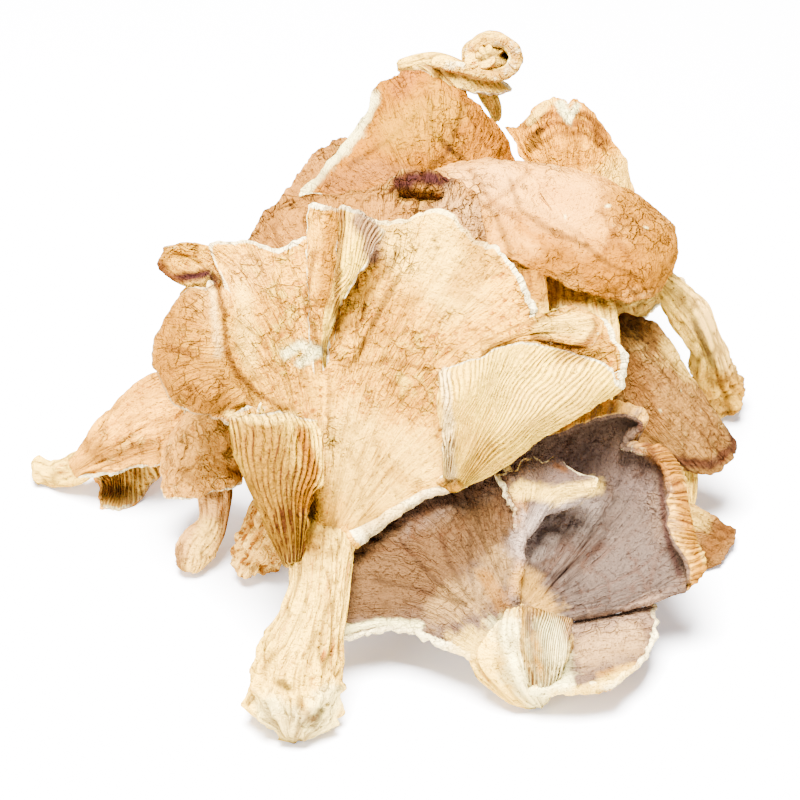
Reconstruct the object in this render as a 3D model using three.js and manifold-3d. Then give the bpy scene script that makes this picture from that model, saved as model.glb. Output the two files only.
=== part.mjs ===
// A heap of dried oyster mushrooms that lie against and over each other.
// Millimetres, +Z up. The origin is on the table, in the middle of the heap's outline.
// Each mushroom grew in one piece, cap, gills and stem, so each is one mesh.

import * as THREE from 'three';
import { mergeVertices } from 'three/addons/utils/BufferGeometryUtils.js';
import Module from 'manifold-3d';

const wasm = await Module();
wasm.setup();

// ---------------------------------------------------------------- driving dimensions

const BOARD_MIDDLE = 30;      // height of the sloping board's middle over the table
const BOARD_RISE = 0.8;       // how steeply the board climbs, its sine
const BOARD_RUN = 0.6;        // and its cosine
const EYE_DISTANCE = 900;     // the spread of the board's lines is that of an eye this far off
const HEAP_CENTRE = [-1.75, -0.05]; // x and y of the outline's middle, which becomes 0
const SMALLEST_STEP = 0.03;   // unevenness that is too fine to keep in the solids

// ---------------------------------------------------------------- points and curves

// The mushrooms are laid out on a board that leans back over the table. A point is given
// as [across, up, behind]: across and up along the board, and how far it lies behind it.
const at = ([across, up, behind]) => {
  const spread = 1 + behind / EYE_DISTANCE;
  return new THREE.Vector3(
    across * spread - HEAP_CENTRE[0],
    up * spread * BOARD_RUN + behind * BOARD_RISE - HEAP_CENTRE[1],
    BOARD_MIDDLE + up * spread * BOARD_RISE - behind * BOARD_RUN,
  );
};

const curveThrough = (points, closed = false) => (
  new THREE.CatmullRomCurve3(points, closed, 'centripetal')
);

// A repeatable random number from 0 to 1 for each whole number.
const chance = (index, seed) => {
  const wave = Math.sin(index * 127.1 + seed * 311.7) * 43758.5453;
  return wave - Math.floor(wave);
};

// A smooth uneven line from -1 to 1, which the torn rims and the stems' ripples follow.
const uneven = (place, seed) => {
  const left = Math.floor(place);
  const between = place - left;
  const ease = between * between * (3 - 2 * between);
  return 2 * THREE.MathUtils.lerp(chance(left, seed), chance(left + 1, seed), ease) - 1;
};

// ---------------------------------------------------------------- solids

const solidOf = (geometry) => {
  geometry.deleteAttribute('normal');
  geometry.deleteAttribute('uv');
  const merged = mergeVertices(geometry, 1e-4);
  const corners = merged.index.array;
  const kept = [];
  for (let first = 0; first < corners.length; first += 3) {
    const triangle = corners.slice(first, first + 3);
    if (new Set(triangle).size === 3) kept.push(...triangle);
  }
  return new wasm.Manifold(new wasm.Mesh({
    numProp: 3,
    vertProperties: Float32Array.from(merged.attributes.position.array),
    triVerts: Uint32Array.from(kept),
  }));
};

const solidFrom = (points, triangles) => solidOf(
  new THREE.BufferGeometry().setFromPoints(points).setIndex(triangles),
);

const geometryOf = (solid) => {
  const { vertProperties, triVerts } = solid.getMesh();
  const geometry = new THREE.BufferGeometry();
  geometry.setAttribute('position', new THREE.BufferAttribute(vertProperties, 3));
  geometry.setIndex(new THREE.BufferAttribute(triVerts, 1));
  return mergeVertices(geometry, 1e-4);
};

// A cap, or a flap or lobe of one, is a sheet that fans out from the stem. Its spokes run
// from the stem to the rim, clockwise for someone who looks at the cap's smooth face. The
// gills are ridges that run out along the spokes on the other face. A cap that is whole goes
// all the way round its hub, the point from which its spokes start.
const sheet = ({
  spokes, gills, rows, thick, gillDepth = 0.9, ragged = 0.8, hub = null, seed,
}) => {
  const whole = hub !== null;
  const columns = gills * 2;
  const [hubThick, rimThick] = thick;
  const alongSpokes = spokes.map((spoke) => {
    const curve = curveThrough((whole ? [hub, ...spoke] : spoke).map(at));
    return Array.from({ length: rows + 1 }, (_, row) => curve.getPointAt(row / rows));
  });
  const grid = Array.from({ length: rows + 1 }, (_, row) => {
    const curve = curveThrough(alongSpokes.map((points) => points[row]), whole);
    return Array.from({ length: columns + 1 }, (_, column) => curve.getPoint(column / columns));
  });
  const beside = (column) => (
    whole ? (column + columns) % columns : THREE.MathUtils.clamp(column, 0, columns)
  );
  const step = (a, b) => new THREE.Vector3().subVectors(b, a);
  const outward = (row, column) => step(
    grid[Math.max(row - 1, 0)][column],
    grid[Math.min(row + 1, rows)][column],
  ).normalize();
  const across = (row, column) => step(
    grid[row][beside(column - 1)],
    grid[row][beside(column + 1)],
  ).normalize();
  const upward = (row, column) => (
    new THREE.Vector3().crossVectors(across(row, column), outward(row, column)).normalize()
  );
  const upAtHub = grid[1].reduce(
    (sum, _, column) => sum.add(upward(1, column)),
    new THREE.Vector3(),
  ).normalize();

  const points = [];
  for (let row = 0; row <= rows; row += 1) {
    const reach = row / rows;
    const half = THREE.MathUtils.lerp(hubThick, rimThick, reach ** 0.6) / 2;
    for (let column = 0; column <= columns; column += 1) {
      const up = whole && row === 0 ? upAtHub : upward(row, column);
      const middle = grid[row][column].clone();
      if (row === rows) {
        const torn = uneven((column % (whole ? columns : Infinity)) * 0.7, seed);
        middle.addScaledVector(outward(row, column), ragged * torn);
      }
      const ridge = column % 2 === 1 ? gillDepth * (row === rows ? 0.3 : 1) : 0;
      points.push(middle.clone().addScaledVector(up, half));
      points.push(middle.clone().addScaledVector(up, -half - ridge * Math.min(1, 3 * reach)));
    }
  }

  const top = (row, column) => 2 * (row * (columns + 1) + column);
  const under = (row, column) => top(row, column) + 1;
  const triangles = [];
  const quad = (a, b, c, d) => triangles.push(a, b, c, a, c, d);
  for (let row = 0; row < rows; row += 1) {
    for (let column = 0; column < columns; column += 1) {
      const next = [row, column + 1];
      const outer = [row + 1, column];
      const far = [row + 1, column + 1];
      const here = [row, column];
      quad(top(...here), top(...next), top(...far), top(...outer));
      triangles.push(under(...here), under(...far), under(...next));
      triangles.push(under(...here), under(...outer), under(...far));
      if (row === rows - 1) quad(top(...outer), top(...far), under(...far), under(...outer));
      if (whole) continue;
      if (row === 0) quad(under(...here), under(...next), top(...next), top(...here));
      if (column === 0) quad(top(...here), top(...outer), under(...outer), under(...here));
      if (column === columns - 1) quad(top(...next), under(...next), under(...far), top(...far));
    }
  }
  return solidFrom(points, triangles);
};

// A stem is an uneven, rippled tube along a line of points, each with its two half-widths.
const stem = ({ line, widths, sides, rings, ripple = 0.08, seed }) => {
  const path = curveThrough(line.map(at));
  const girth = curveThrough(widths.map(([wide, deep]) => new THREE.Vector3(wide, deep, 0)));
  const toEye = new THREE.Vector3(0, -BOARD_RISE, BOARD_RUN);
  const points = [];
  for (let ring = 0; ring <= rings; ring += 1) {
    const place = ring / rings;
    const centre = path.getPointAt(place);
    const along = path.getTangentAt(place);
    const wideWay = new THREE.Vector3().crossVectors(along, toEye).normalize();
    const deepWay = new THREE.Vector3().crossVectors(wideWay, along).normalize();
    const size = girth.getPoint(place);
    for (let side = 0; side < sides; side += 1) {
      const angle = (side / sides) * 2 * Math.PI;
      const swell = 1 + ripple * (uneven(side * 0.8, seed) + uneven(ring * 1.3 + side, seed + 5));
      points.push(centre.clone()
        .addScaledVector(wideWay, Math.cos(angle) * (size.x * swell))
        .addScaledVector(deepWay, Math.sin(angle) * (size.y * swell)));
    }
  }
  const foot = points.push(path.getPointAt(0)) - 1;
  const head = points.push(path.getPointAt(1)) - 1;
  const triangles = [];
  for (let side = 0; side < sides; side += 1) {
    const next = (side + 1) % sides;
    triangles.push(foot, side, next);
    triangles.push(head, rings * sides + next, rings * sides + side);
    for (let ring = 0; ring < rings; ring += 1) {
      const low = ring * sides;
      const high = low + sides;
      triangles.push(low + side, high + next, low + next);
      triangles.push(low + side, high + side, high + next);
    }
  }
  return solidFrom(points, triangles);
};

// The one body that matters: loose scraps and sealed bubbles left by joining are dropped.
const mainBody = (solid) => solid.decompose().sort((a, b) => b.volume() - a.volume())[0];

const grownTogether = (solids) => mainBody(solids.reduce((whole, next) => whole.add(next)));

// ---------------------------------------------------------------- the mushrooms

// The big front mushroom leans back on the heap and stands on its stem. Its fan is split in
// three, and a flap on each side is folded forward so that its gills show.
const frontFan = () => {
  const leftFace = sheet({
    gills: 14, rows: 7, thick: [4, 1.5], seed: 11,
    spokes: [
      [[-20, -31, -27], [-22, -20, -27], [-25, -9, -27], [-28, -1, -28]],
      [[-19.5, -30, -27], [-23, -18, -25.5], [-27, -8, -25], [-30.5, -2, -27.5], [-31.5, -4.5, -28]],
      [[-19.5, -29.5, -27], [-23.5, -15, -25], [-29, -3, -25], [-33, 1, -29], [-37, -3.5, -28]],
      [[-19, -29, -27], [-24, -12, -25], [-31, 1, -25], [-37, 4, -31], [-41, 2, -31], [-44, -1, -27]],
      [[-18.5, -28, -27], [-24, -8, -25], [-32, 5, -25], [-38, 8, -31], [-44, 8, -30], [-48.8, 7, -25]],
      [[-18, -27, -27], [-24, -4, -25], [-32.5, 10, -25], [-38, 13, -31], [-43, 14.5, -30],
        [-47.5, 15, -25]],
      [[-17.5, -27, -27], [-23.5, 0, -25], [-32, 14, -26], [-37, 17.5, -30], [-40, 20.5, -29.5],
        [-43, 21.5, -26]],
      [[-17.2, -27, -27], [-22.5, 1, -24.5], [-31, 14.5, -25], [-35, 18, -28.5], [-37.5, 23, -28.5]],
      [[-17, -27, -27], [-21.8, 2, -24], [-29.5, 15, -23.5], [-32.5, 18, -23.3], [-34.5, 21, -23]],
      [[-16.5, -27, -27], [-21, 4, -24], [-28, 20, -22], [-33, 27, -20.5], [-37, 30.3, -20]],
      [[-16.2, -27, -27], [-19.5, 4, -24], [-25.5, 20, -22], [-30.5, 31.5, -21]],
      [[-16, -27, -27], [-18, 4, -24], [-22, 18, -22.5], [-25, 30, -22]],
      [[-15, -27, -27], [-15.5, 4, -24.2], [-17, 18, -23.5], [-19, 32, -23]],
    ],
  });
  const upperCurl = sheet({
    gills: 5, rows: 5, thick: [2, 1.5], seed: 12,
    spokes: [
      [[-28, 10, -22.5], [-34, 17, -21.5], [-40, 21, -20], [-43, 21.5, -20]],
      [[-28, 11, -22.5], [-34, 19, -22], [-38, 24.8, -26]],
      [[-28, 12, -22.5], [-36, 21, -20.5], [-42.5, 24.2, -25.5]],
      [[-28, 13, -22.3], [-38, 23, -18.5], [-44, 25, -18.5], [-47.5, 26.5, -23.5]],
      [[-27.5, 15, -22], [-38, 25, -18], [-45, 29, -18.5], [-47.5, 30, -21]],
      [[-27, 17, -21.8], [-37, 28, -19], [-43, 31.5, -19.5]],
      [[-26, 18, -21.6], [-33, 27, -20.3], [-37, 30.3, -20]],
    ],
  });
  const splitStrip = sheet({
    gills: 2, rows: 4, thick: [1.4, 1.8], seed: 13,
    spokes: [
      [[-17, 4, -24], [-17.4, 13, -24.4], [-18, 25, -24.5], [-17.8, 39, -23]],
      [[-16.2, 4, -24], [-16, 13, -25.4], [-15.5, 24, -27.5], [-14.5, 38.5, -27]],
      [[-15.4, 4, -24], [-15.3, 13, -25.2], [-13.5, 24, -27], [-12.5, 37.5, -25]],
    ],
  });
  const rightFace = sheet({
    gills: 14, rows: 7, thick: [4.4, 1.7], seed: 14,
    spokes: [
      [[-16, -25, -28], [-16, -4, -24.8], [-14.5, 10, -24], [-12, 24, -23], [-10, 36, -22]],
      [[-14.5, -25, -28], [-11, 0, -23.5], [-6, 18, -22], [-2, 35.5, -21]],
      [[-14, -25, -28], [-7, 2, -22.5], [1, 20, -21.5], [8, 37.5, -21]],
      [[-13.5, -25, -28], [-4, 0, -22.5], [6, 18, -21.5], [15, 31.5, -21.5]],
      [[-13, -25.5, -28], [-2, -2, -22.5], [10, 16, -22], [21, 29, -22]],
      [[-12.5, -26, -28], [0, -4, -22.5], [13, 12, -22.5], [25.5, 21, -23]],
      [[-12, -26, -28], [2, -6, -23], [15, 9, -24], [27, 16, -25]],
      [[-11, -27, -28], [4, -8, -24], [18, 6, -25], [30, 15, -24], [38.5, 17, -23]],
      [[-10.5, -27.5, -28], [5, -11, -25], [20, 2, -25], [34, 9, -23], [42.5, 13, -23]],
      [[-10, -28, -28.5], [6, -13.5, -26], [21, -3, -26], [34, 3, -25], [44.5, 6.5, -26]],
      [[-9.5, -28, -29], [3, -20, -28], [15, -15.5, -27.5], [27, -7, -27.5], [43, 2.5, -28]],
    ],
  });
  const splitFlap = sheet({
    gills: 4, rows: 5, thick: [1.2, 1.6], seed: 19,
    spokes: [
      [[-14.6, 6, -24.2], [-14.4, 12, -26.6], [-12.5, 19, -29], [-8, 26, -30], [-3.5, 33, -28]],
      [[-15, 6, -24.1], [-14.8, 12, -26.6], [-13, 20, -30], [-10, 28, -31.2], [-7, 36.5, -29]],
      [[-15.4, 6, -24], [-15, 12, -25.6], [-13.5, 20, -27], [-11.5, 29, -27.6], [-11.5, 38.3, -25.6]],
      [[-15, 5, -23.8], [-14, 12, -24], [-12, 20, -23.6], [-9.5, 29, -23.2], [-8, 36, -22]],
    ],
  });
  const rightFlap = sheet({
    gills: 11, rows: 5, thick: [2.6, 1.6], seed: 15,
    spokes: [
      [[8, -16.5, -28], [22, -6, -27.5], [34, 1, -27], [44, 5.5, -27.5]],
      [[10, -17.5, -29], [21, -11.5, -31], [30, -5.5, -32], [38, -1.2, -31.5], [44, 3, -30]],
      [[12, -16.5, -31.5], [20, -9, -36], [29, -1, -37], [36, 4, -36], [40, 7, -34]],
      [[12.5, -15.5, -32.5], [19, -5, -39], [25, 3, -40], [30, 8, -38.5], [32, 9.5, -37]],
      [[12, -15, -32.5], [16.5, -4, -39], [20, 4, -40], [23, 11.5, -37]],
      [[11, -15, -31.5], [13, -4, -37.5], [15, 3, -38.5], [15.5, 7.8, -36]],
      [[9.5, -15, -30], [9.5, -6, -34], [8.2, -1, -35], [8.8, 5.5, -33]],
    ],
  });
  const tongue = sheet({
    gills: 3, rows: 3, thick: [2, 1.6], gillDepth: 0.5, seed: 16,
    spokes: [
      [[17, 11.5, -25], [24, 14.8, -30], [30, 17, -33]],
      [[17, 11, -25.3], [25, 14.6, -31], [34, 18.3, -34]],
      [[17, 10.5, -25.6], [26, 14, -32.5], [39.3, 15.5, -34]],
      [[17, 10, -25.3], [26, 13.2, -32], [37, 11, -33.5]],
      [[17, 9.5, -25], [24, 12.4, -30.5], [30, 11.3, -33]],
    ],
  });
  const leftFlap = sheet({
    gills: 8, rows: 5, thick: [3, 1.5], seed: 17,
    spokes: [
      [[-20, -31, -33], [-18.5, -21, -36.5], [-15.6, -13, -37], [-16.8, -4.5, -34.5]],
      [[-21.5, -31.5, -33], [-23, -20, -39], [-22.5, -11, -40], [-23, -3, -36]],
      [[-22, -32.5, -30.5], [-27.7, -20, -34], [-31.3, -12, -35], [-33.5, -4, -32]],
      [[-21, -32, -28], [-25, -20, -29], [-28, -11, -29], [-30.5, -2.5, -28.5]],
      [[-20, -31, -27.5], [-22.5, -20, -27], [-24.5, -10, -27], [-27, -2, -27.5]],
    ],
  });
  const foot = stem({
    sides: 12, rings: 9, ripple: 0.09, seed: 18,
    line: [[-21.5, -68, -39.6], [-21, -61, -37.4], [-21, -55, -36.6], [-18.5, -47, -35.4],
      [-16.5, -38, -33], [-16, -30, -29.5], [-15.5, -22, -25.6]],
    widths: [[4, 3], [9.3, 7.2], [8.6, 6.2], [6.5, 5], [5.8, 4.6], [6.4, 3.8], [4, 1]],
  });
  return grownTogether([
    leftFace, upperCurl, splitStrip, splitFlap, rightFace, rightFlap, tongue, leftFlap, foot,
  ]);
};

// Two caps on one broad cut stem: a brown one on the left, whose right edge is a fold, and
// a grey hollow one with a rolled rim. A third lobe hangs low on the right.
const greyTwin = () => {
  const brownCap = sheet({
    gills: 10, rows: 5, thick: [4, 1.6], seed: 21,
    spokes: [
      [[15, -51, -34], [8, -48.5, -31], [0, -45.5, -29], [-12, -47.5, -29]],
      [[16, -48, -34], [8, -42, -30], [-2, -40, -28], [-13, -41, -27]],
      [[18, -45, -34], [8, -35, -29], [-2, -31, -26], [-12, -30, -24]],
      [[20, -43, -33.5], [11, -30, -27.5], [2, -22, -23.5], [-6, -18, -21]],
      [[21, -41, -33], [14, -28, -26.5], [8, -18, -22], [4, -11, -19]],
      [[21.5, -41, -32.5], [17, -28, -26], [14, -17, -22], [12, -10, -20]],
      [[22, -41, -32.5], [20.5, -28, -28], [20, -17, -26], [20, -12, -23.5]],
      [[22.5, -41, -33], [24, -30, -31], [24.5, -22, -30.5], [22, -16, -28.5]],
    ],
  });
  const greyCap = sheet({
    gills: 12, rows: 7, thick: [4, 1.5], seed: 22,
    spokes: [
      [[23, -42, -31], [22, -32, -25], [21, -20, -19], [20, -8, -16]],
      [[24, -42, -31], [28, -28, -20], [30.5, -15, -13.5], [31, -7.5, -13.5], [31.5, -4.8, -16.5],
        [31.7, -6.8, -19]],
      [[24.5, -42, -31], [32, -28, -19], [37, -14, -12], [40, -4, -12], [40.5, -0.8, -15],
        [40, -3.4, -17.5]],
      [[25, -42, -31], [35, -29, -19.5], [43, -16.5, -12.5], [47, -6.5, -11.5], [48.8, -3, -14.5],
        [48, -4.6, -17]],
      [[25.3, -42.2, -31], [36, -30, -19.7], [43, -19, -13], [45, -11, -12.5], [45.6, -8, -14.5],
        [45, -8.8, -16.5]],
      [[25.5, -42.5, -31], [37, -31, -20], [46, -21.5, -14], [51.5, -12.6, -15], [53, -10.4, -18],
        [50.6, -11.4, -20.5]],
      [[26, -42.5, -31], [38, -34, -21.5], [48, -25, -16], [54, -17, -17], [56, -15.5, -20],
        [53.3, -15, -22.5]],
      [[26.5, -43, -31], [39, -37, -23], [49, -30, -18.5], [55, -23, -19], [57.2, -22.5, -22],
        [53.5, -22, -24.5]],
      [[26.5, -43.5, -31.5], [40, -39.5, -25], [50, -34, -21], [56, -28.5, -21], [58, -28, -23.5],
        [54.5, -27.5, -26]],
      [[26.5, -44, -31.5], [40, -41.3, -26.5], [51, -37, -23], [58, -33, -22], [60.2, -33.5, -25],
        [57.5, -34, -27]],
      [[26, -45, -32], [34, -44, -29], [45, -41.5, -26], [57, -38.2, -25]],
    ],
  });
  const tornFlap = sheet({
    gills: 3, rows: 3, thick: [2.4, 1.6], gillDepth: 0.5, ragged: 1.4, seed: 23,
    spokes: [
      [[23.5, -26, -31], [22, -19, -29.5], [20, -15.5, -27.5]],
      [[24, -26, -31], [25, -18, -28.5], [25, -12.5, -25]],
      [[24.5, -26, -30.5], [28, -18, -27], [30.5, -12.5, -22.5]],
      [[25, -26.5, -30.5], [31, -18.5, -27.5], [38.5, -17, -25]],
      [[25, -27, -30], [28, -23, -28], [31.5, -22, -25.5]],
    ],
  });
  const lowLobe = sheet({
    gills: 6, rows: 5, thick: [4, 1.6], seed: 24,
    spokes: [
      [[28, -48, -32], [38, -44, -26], [50.5, -41.5, -22]],
      [[28, -51, -34], [38, -47.5, -27.5], [51, -46, -25]],
      [[28, -54, -35], [38, -51, -30.5], [49.4, -51, -29]],
      [[27.5, -56.5, -36], [36, -54.6, -34], [46.6, -54, -32.5]],
      [[27, -58, -36.5], [35, -58, -37.5], [43, -56.6, -37]],
    ],
  });
  const gillsOnStem = sheet({
    gills: 5, rows: 4, thick: [2.4, 2], ragged: 0.3, seed: 26,
    spokes: [
      [[29.6, -58, -35.5], [32.4, -51, -37.5], [34, -44.2, -34]],
      [[28.6, -58.2, -36.2], [30, -51, -38.8], [31, -43.6, -35]],
      [[27.6, -58.2, -36.2], [27.4, -51, -39], [28, -42.8, -35.4]],
      [[26.6, -58, -35.5], [24.8, -51, -38.4], [24.6, -42, -34]],
    ],
  });
  const foot = stem({
    sides: 12, rings: 5, ripple: 0.08, seed: 25,
    line: [[28, -61, -30.2], [26.4, -57.6, -31.6], [24.4, -51, -32.6], [23.4, -44.6, -31.8],
      [24, -39.6, -30]],
    widths: [[2.6, 2.2], [7.4, 4.4], [10.6, 5.4], [8.6, 4.4], [4, 1.2]],
  });
  return grownTogether([brownCap, greyCap, tornFlap, lowLobe, foot, gillsOnStem]);
};

// A smooth rounded cap, nearly whole, that is bent down all round over its gills and stem.
const smoothDome = () => {
  const cap = sheet({
    gills: 18, rows: 6, thick: [2.6, 1.6], hub: [33.4, 34.6, -6], seed: 31,
    spokes: [
      [[26, 44, 0.2], [21, 47, 6], [19, 45, 13]],
      [[31, 44, 0], [29, 46.5, 8], [28, 44.5, 15]],
      [[40, 42, 0], [43, 43, 8], [45, 40, 15], [46, 35, 19]],
      [[45, 38, -2], [52, 36.5, 4], [54, 33, 10], [54, 29, 13]],
      [[46, 34, -4.5], [53, 32.5, -1], [54.5, 29, 5], [52.5, 24.8, 8]],
      [[44, 30, -8], [49, 25.5, -8], [49.5, 21, -5]],
      [[41, 29, -9], [44.5, 24.5, -10], [45, 20.3, -8]],
      [[37, 29, -9.5], [38.5, 25, -11], [38.8, 21.8, -10]],
      [[32, 30, -9.5], [31, 27, -11.5], [30.6, 24.4, -11.5]],
      [[27, 32, -9], [24, 30, -12], [22.5, 28.5, -13]],
      [[22, 35, -8], [17, 33.5, -11.5], [14.5, 32, -13]],
      [[21, 38.5, -6.5], [14, 38.5, -9], [10.5, 38, -9]],
      [[22, 42, -4], [13, 44.5, -4], [7.5, 45.5, -2]],
      [[27, 43.6, -1.2], [19, 47.2, 2.6], [12, 47, 7]],
    ],
  });
  const foot = stem({
    sides: 10, rings: 7, seed: 32,
    line: [[34.2, 33.4, -4.2], [35.4, 28, -3], [36.5, 22, -3.6], [38, 10, -4], [37, 0, 0], [35, -9, 8],
      [34, -16.8, 24.4]],
    widths: [[3, 1.2], [5, 2.8], [6.2, 3.6], [5.2, 4.2], [5, 4.4], [5, 4.4], [5.5, 4.6]],
  });
  const gillFold = stem({
    sides: 7, rings: 4, seed: 33,
    line: [[25.5, 31, -8.5], [26.4, 24, -11.5], [27.4, 14, -13], [29, 4, -8], [33, -2, -2]],
    widths: [[2.2, 1.6], [2.8, 2.2], [2.6, 2.2], [2.4, 2], [1.6, 1.4]],
  });
  return grownTogether([cap, foot, gillFold]);
};

// A golden cap with a torn left edge that leans back, its gills and stem behind it.
const goldenCap = () => {
  const cap = sheet({
    gills: 13, rows: 6, thick: [4, 1.6], seed: 41, ragged: 1.2,
    spokes: [
      [[2, 34, 18], [-8, 38, 16], [-14, 40, 18], [-20, 41, 23]],
      [[3, 35, 17.5], [-5, 42, 16], [-11, 47, 18], [-13, 49, 23]],
      [[4, 36, 17], [-1, 46, 16], [-5, 53, 19], [-7.5, 55.5, 24]],
      [[5, 37, 17], [1, 50, 16], [-2, 58, 20], [-4.5, 62.5, 26]],
      [[6, 37.5, 17], [4, 52, 16], [2, 61, 21], [0, 65, 27]],
      [[7, 37.5, 17], [8, 52, 16], [9, 60, 21], [9.5, 64.5, 27]],
      [[8, 37, 17], [12, 49, 17], [14, 56, 21], [14.5, 60, 27]],
      [[9, 36, 17.5], [14, 45, 18], [18, 51, 22], [20, 53.5, 29]],
      [[10, 35, 18], [15, 41, 20], [20, 45, 24.5], [23, 46.5, 32]],
    ],
  });
  const foot = stem({
    sides: 10, rings: 6, seed: 43,
    line: [[6, 38.5, 17.5], [7, 30, 19.5], [9, 19, 20], [12, 6, 21], [16, -5, 24], [19, -14.4, 28]],
    widths: [[4, 1.6], [5.5, 3.8], [4.5, 4], [4.6, 4], [5, 4.4], [5.6, 4.6]],
  });
  return grownTogether([cap, foot]);
};

// A pale mushroom on the very top. Its thin cap has dried into a tight roll.
const curledTop = () => {
  const turn = (behind, grow) => [
    [7, 67.6, behind], [14, 65.9, behind], [19.5 + grow, 64.8, behind], [23.4 + grow, 67.8, behind],
    [21.5, 71.4 + grow, behind], [17, 72.4 + grow, behind], [13.6, 70, behind],
    [13.8, 67.4, behind], [16.6, 66.4, behind], [19, 68, behind], [17.6, 69.8, behind],
  ];
  const roll = sheet({
    gills: 4, rows: 15, thick: [2.4, 1.9], gillDepth: 0.2, ragged: 0.3, seed: 51,
    spokes: [turn(22, 0), turn(26, 0.4), turn(30, 0.2), turn(34, -1)],
  });
  const foot = stem({
    sides: 8, rings: 4, seed: 52,
    line: [[-0.5, 66.6, 33], [4, 67.6, 32], [8, 67.6, 30], [13, 65.4, 29]],
    widths: [[1.4, 1.6], [1.7, 1.8], [2, 2], [2.4, 1.8]],
  });
  const strip = stem({
    sides: 7, rings: 3, ripple: 0.15, seed: 53,
    line: [[18.6, 66, 31.4], [17.4, 62, 33.4], [18.8, 58.4, 35.4], [19.4, 55.6, 36.6]],
    widths: [[3, 1.6], [2.4, 1.4], [1.9, 1.2], [1.1, 0.8]],
  });
  return grownTogether([roll, foot, strip]);
};

// A tan cap at the back, like a scallop shell, with a notch in its rim.
const ridgedShell = () => {
  const cap = sheet({
    gills: 12, rows: 6, thick: [4, 1.6], seed: 61,
    spokes: [
      [[31.4, 38, 28], [27.4, 45, 29.6], [24.4, 50, 32.6], [22.2, 54, 37]],
      [[32.2, 39, 25], [28.8, 48, 25.4], [26, 52, 29], [24.8, 54.5, 34]],
      [[33, 40, 23], [30, 50, 23], [28, 55, 27], [27, 57.8, 32]],
      [[34, 40, 23], [32.5, 51, 22], [31.8, 56, 26], [31, 59.8, 32]],
      [[34.5, 40, 23], [34, 51, 22.2], [33.8, 54, 24.5], [33.6, 56.6, 28.5]],
      [[35, 40, 23], [36, 51, 22.5], [36, 55.5, 26], [35.5, 59.3, 32]],
      [[36, 39.5, 23], [39, 48, 23], [40, 51, 27], [40.3, 54.3, 32]],
      [[37, 38.5, 23.5], [41, 44, 24], [43, 46.5, 28], [44.3, 48.5, 33]],
      [[38, 37.5, 24], [42, 40, 26], [45, 41, 30], [46.3, 42, 35]],
    ],
  });
  const foot = stem({
    sides: 10, rings: 5, seed: 62,
    line: [[34.5, 42, 23.5], [34.5, 34, 27], [35, 24, 35], [36, 10, 42], [36, -2, 49]],
    widths: [[4, 2], [5.5, 4], [4.5, 4], [5, 4.5], [5.5, 4.8]],
  });
  return grownTogether([cap, foot]);
};

// A tan cap on the left, bent over like a tent, with its stem's pale end on the table.
const leftWing = () => {
  const cap = sheet({
    gills: 13, rows: 6, thick: [3, 1.5], seed: 71,
    spokes: [
      [[-65, -14.5, 20], [-62, -13, 24], [-60, -18, 22.5], [-60, -21, 20]],
      [[-65, -14, 20], [-60, -9, 23], [-56, -14, 25], [-55.5, -21.5, 20]],
      [[-65, -13.5, 19.5], [-58, -5, 19], [-51, -6, 23], [-48, -15, 22]],
      [[-65, -13, 19], [-58, -3.5, 15], [-50, 2, 17], [-42, -3, 22]],
      [[-65, -13, 18.5], [-59, -5, 13], [-51, 3.5, 12.5], [-43, 6, 15], [-39, 2, 18]],
      [[-64.5, -13.5, 18], [-57, -7, 11], [-49, -1, 11], [-42, 0, 14]],
      [[-64.5, -14, 18], [-57, -10, 11], [-50, -7, 10.5], [-43.5, -5, 13.5]],
      [[-64, -14.5, 18.5], [-58, -14.5, 13], [-53, -13.5, 11.5], [-46.6, -12.5, 13]],
    ],
  });
  const foot = stem({
    sides: 10, rings: 4, ripple: 0.12, seed: 72,
    line: [[-73.6, -13.4, 26.4], [-69.4, -14.6, 25], [-65, -14, 21.6], [-60.5, -10.5, 16.5]],
    widths: [[3.4, 2.6], [3, 2.8], [3.2, 2.8], [2, 1.4]],
  });
  return grownTogether([cap, foot]);
};

// A small round-capped mushroom that stands on its bent stem.
const littleLeft = () => {
  const cap = sheet({
    gills: 12, rows: 4, thick: [3, 1.5], gillDepth: 0.7, hub: [-38.6, -10.8, -3.4], seed: 81,
    spokes: [
      [[-39, -3, 0], [-39, 0, 5], [-38.5, -2, 10]],
      [[-35, -5, -1], [-33, -4, 4], [-32.5, -7, 8]],
      [[-33.5, -10, -0.5], [-31.5, -12, 4]],
      [[-34, -14, -1.5], [-31.8, -16.5, 1]],
      [[-37, -15.5, -4], [-37, -18, -3]],
      [[-41, -16, -4.5], [-42, -19.5, -3]],
      [[-43.5, -15.5, -3.5], [-46.3, -18.8, -0.5]],
      [[-44.5, -12, -1.5], [-47.8, -14, 2.5]],
      [[-43, -7, -0.5], [-45, -7.4, 3.4], [-45.3, -9.6, 6]],
      [[-40, -4, -0.4], [-41, -1.7, 4.2], [-41, -4, 7.4]],
    ],
  });
  const foot = stem({
    sides: 10, rings: 6, seed: 82,
    line: [[-42, -34.4, 1.8], [-40.9, -30, 1.5], [-37.5, -25, 1], [-37, -19, 1], [-38, -12, 0.4]],
    widths: [[3, 2.6], [4, 3.2], [2.9, 2.8], [3.6, 2.6], [3.4, 1.6]],
  });
  return grownTogether([cap, foot]);
};

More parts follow.
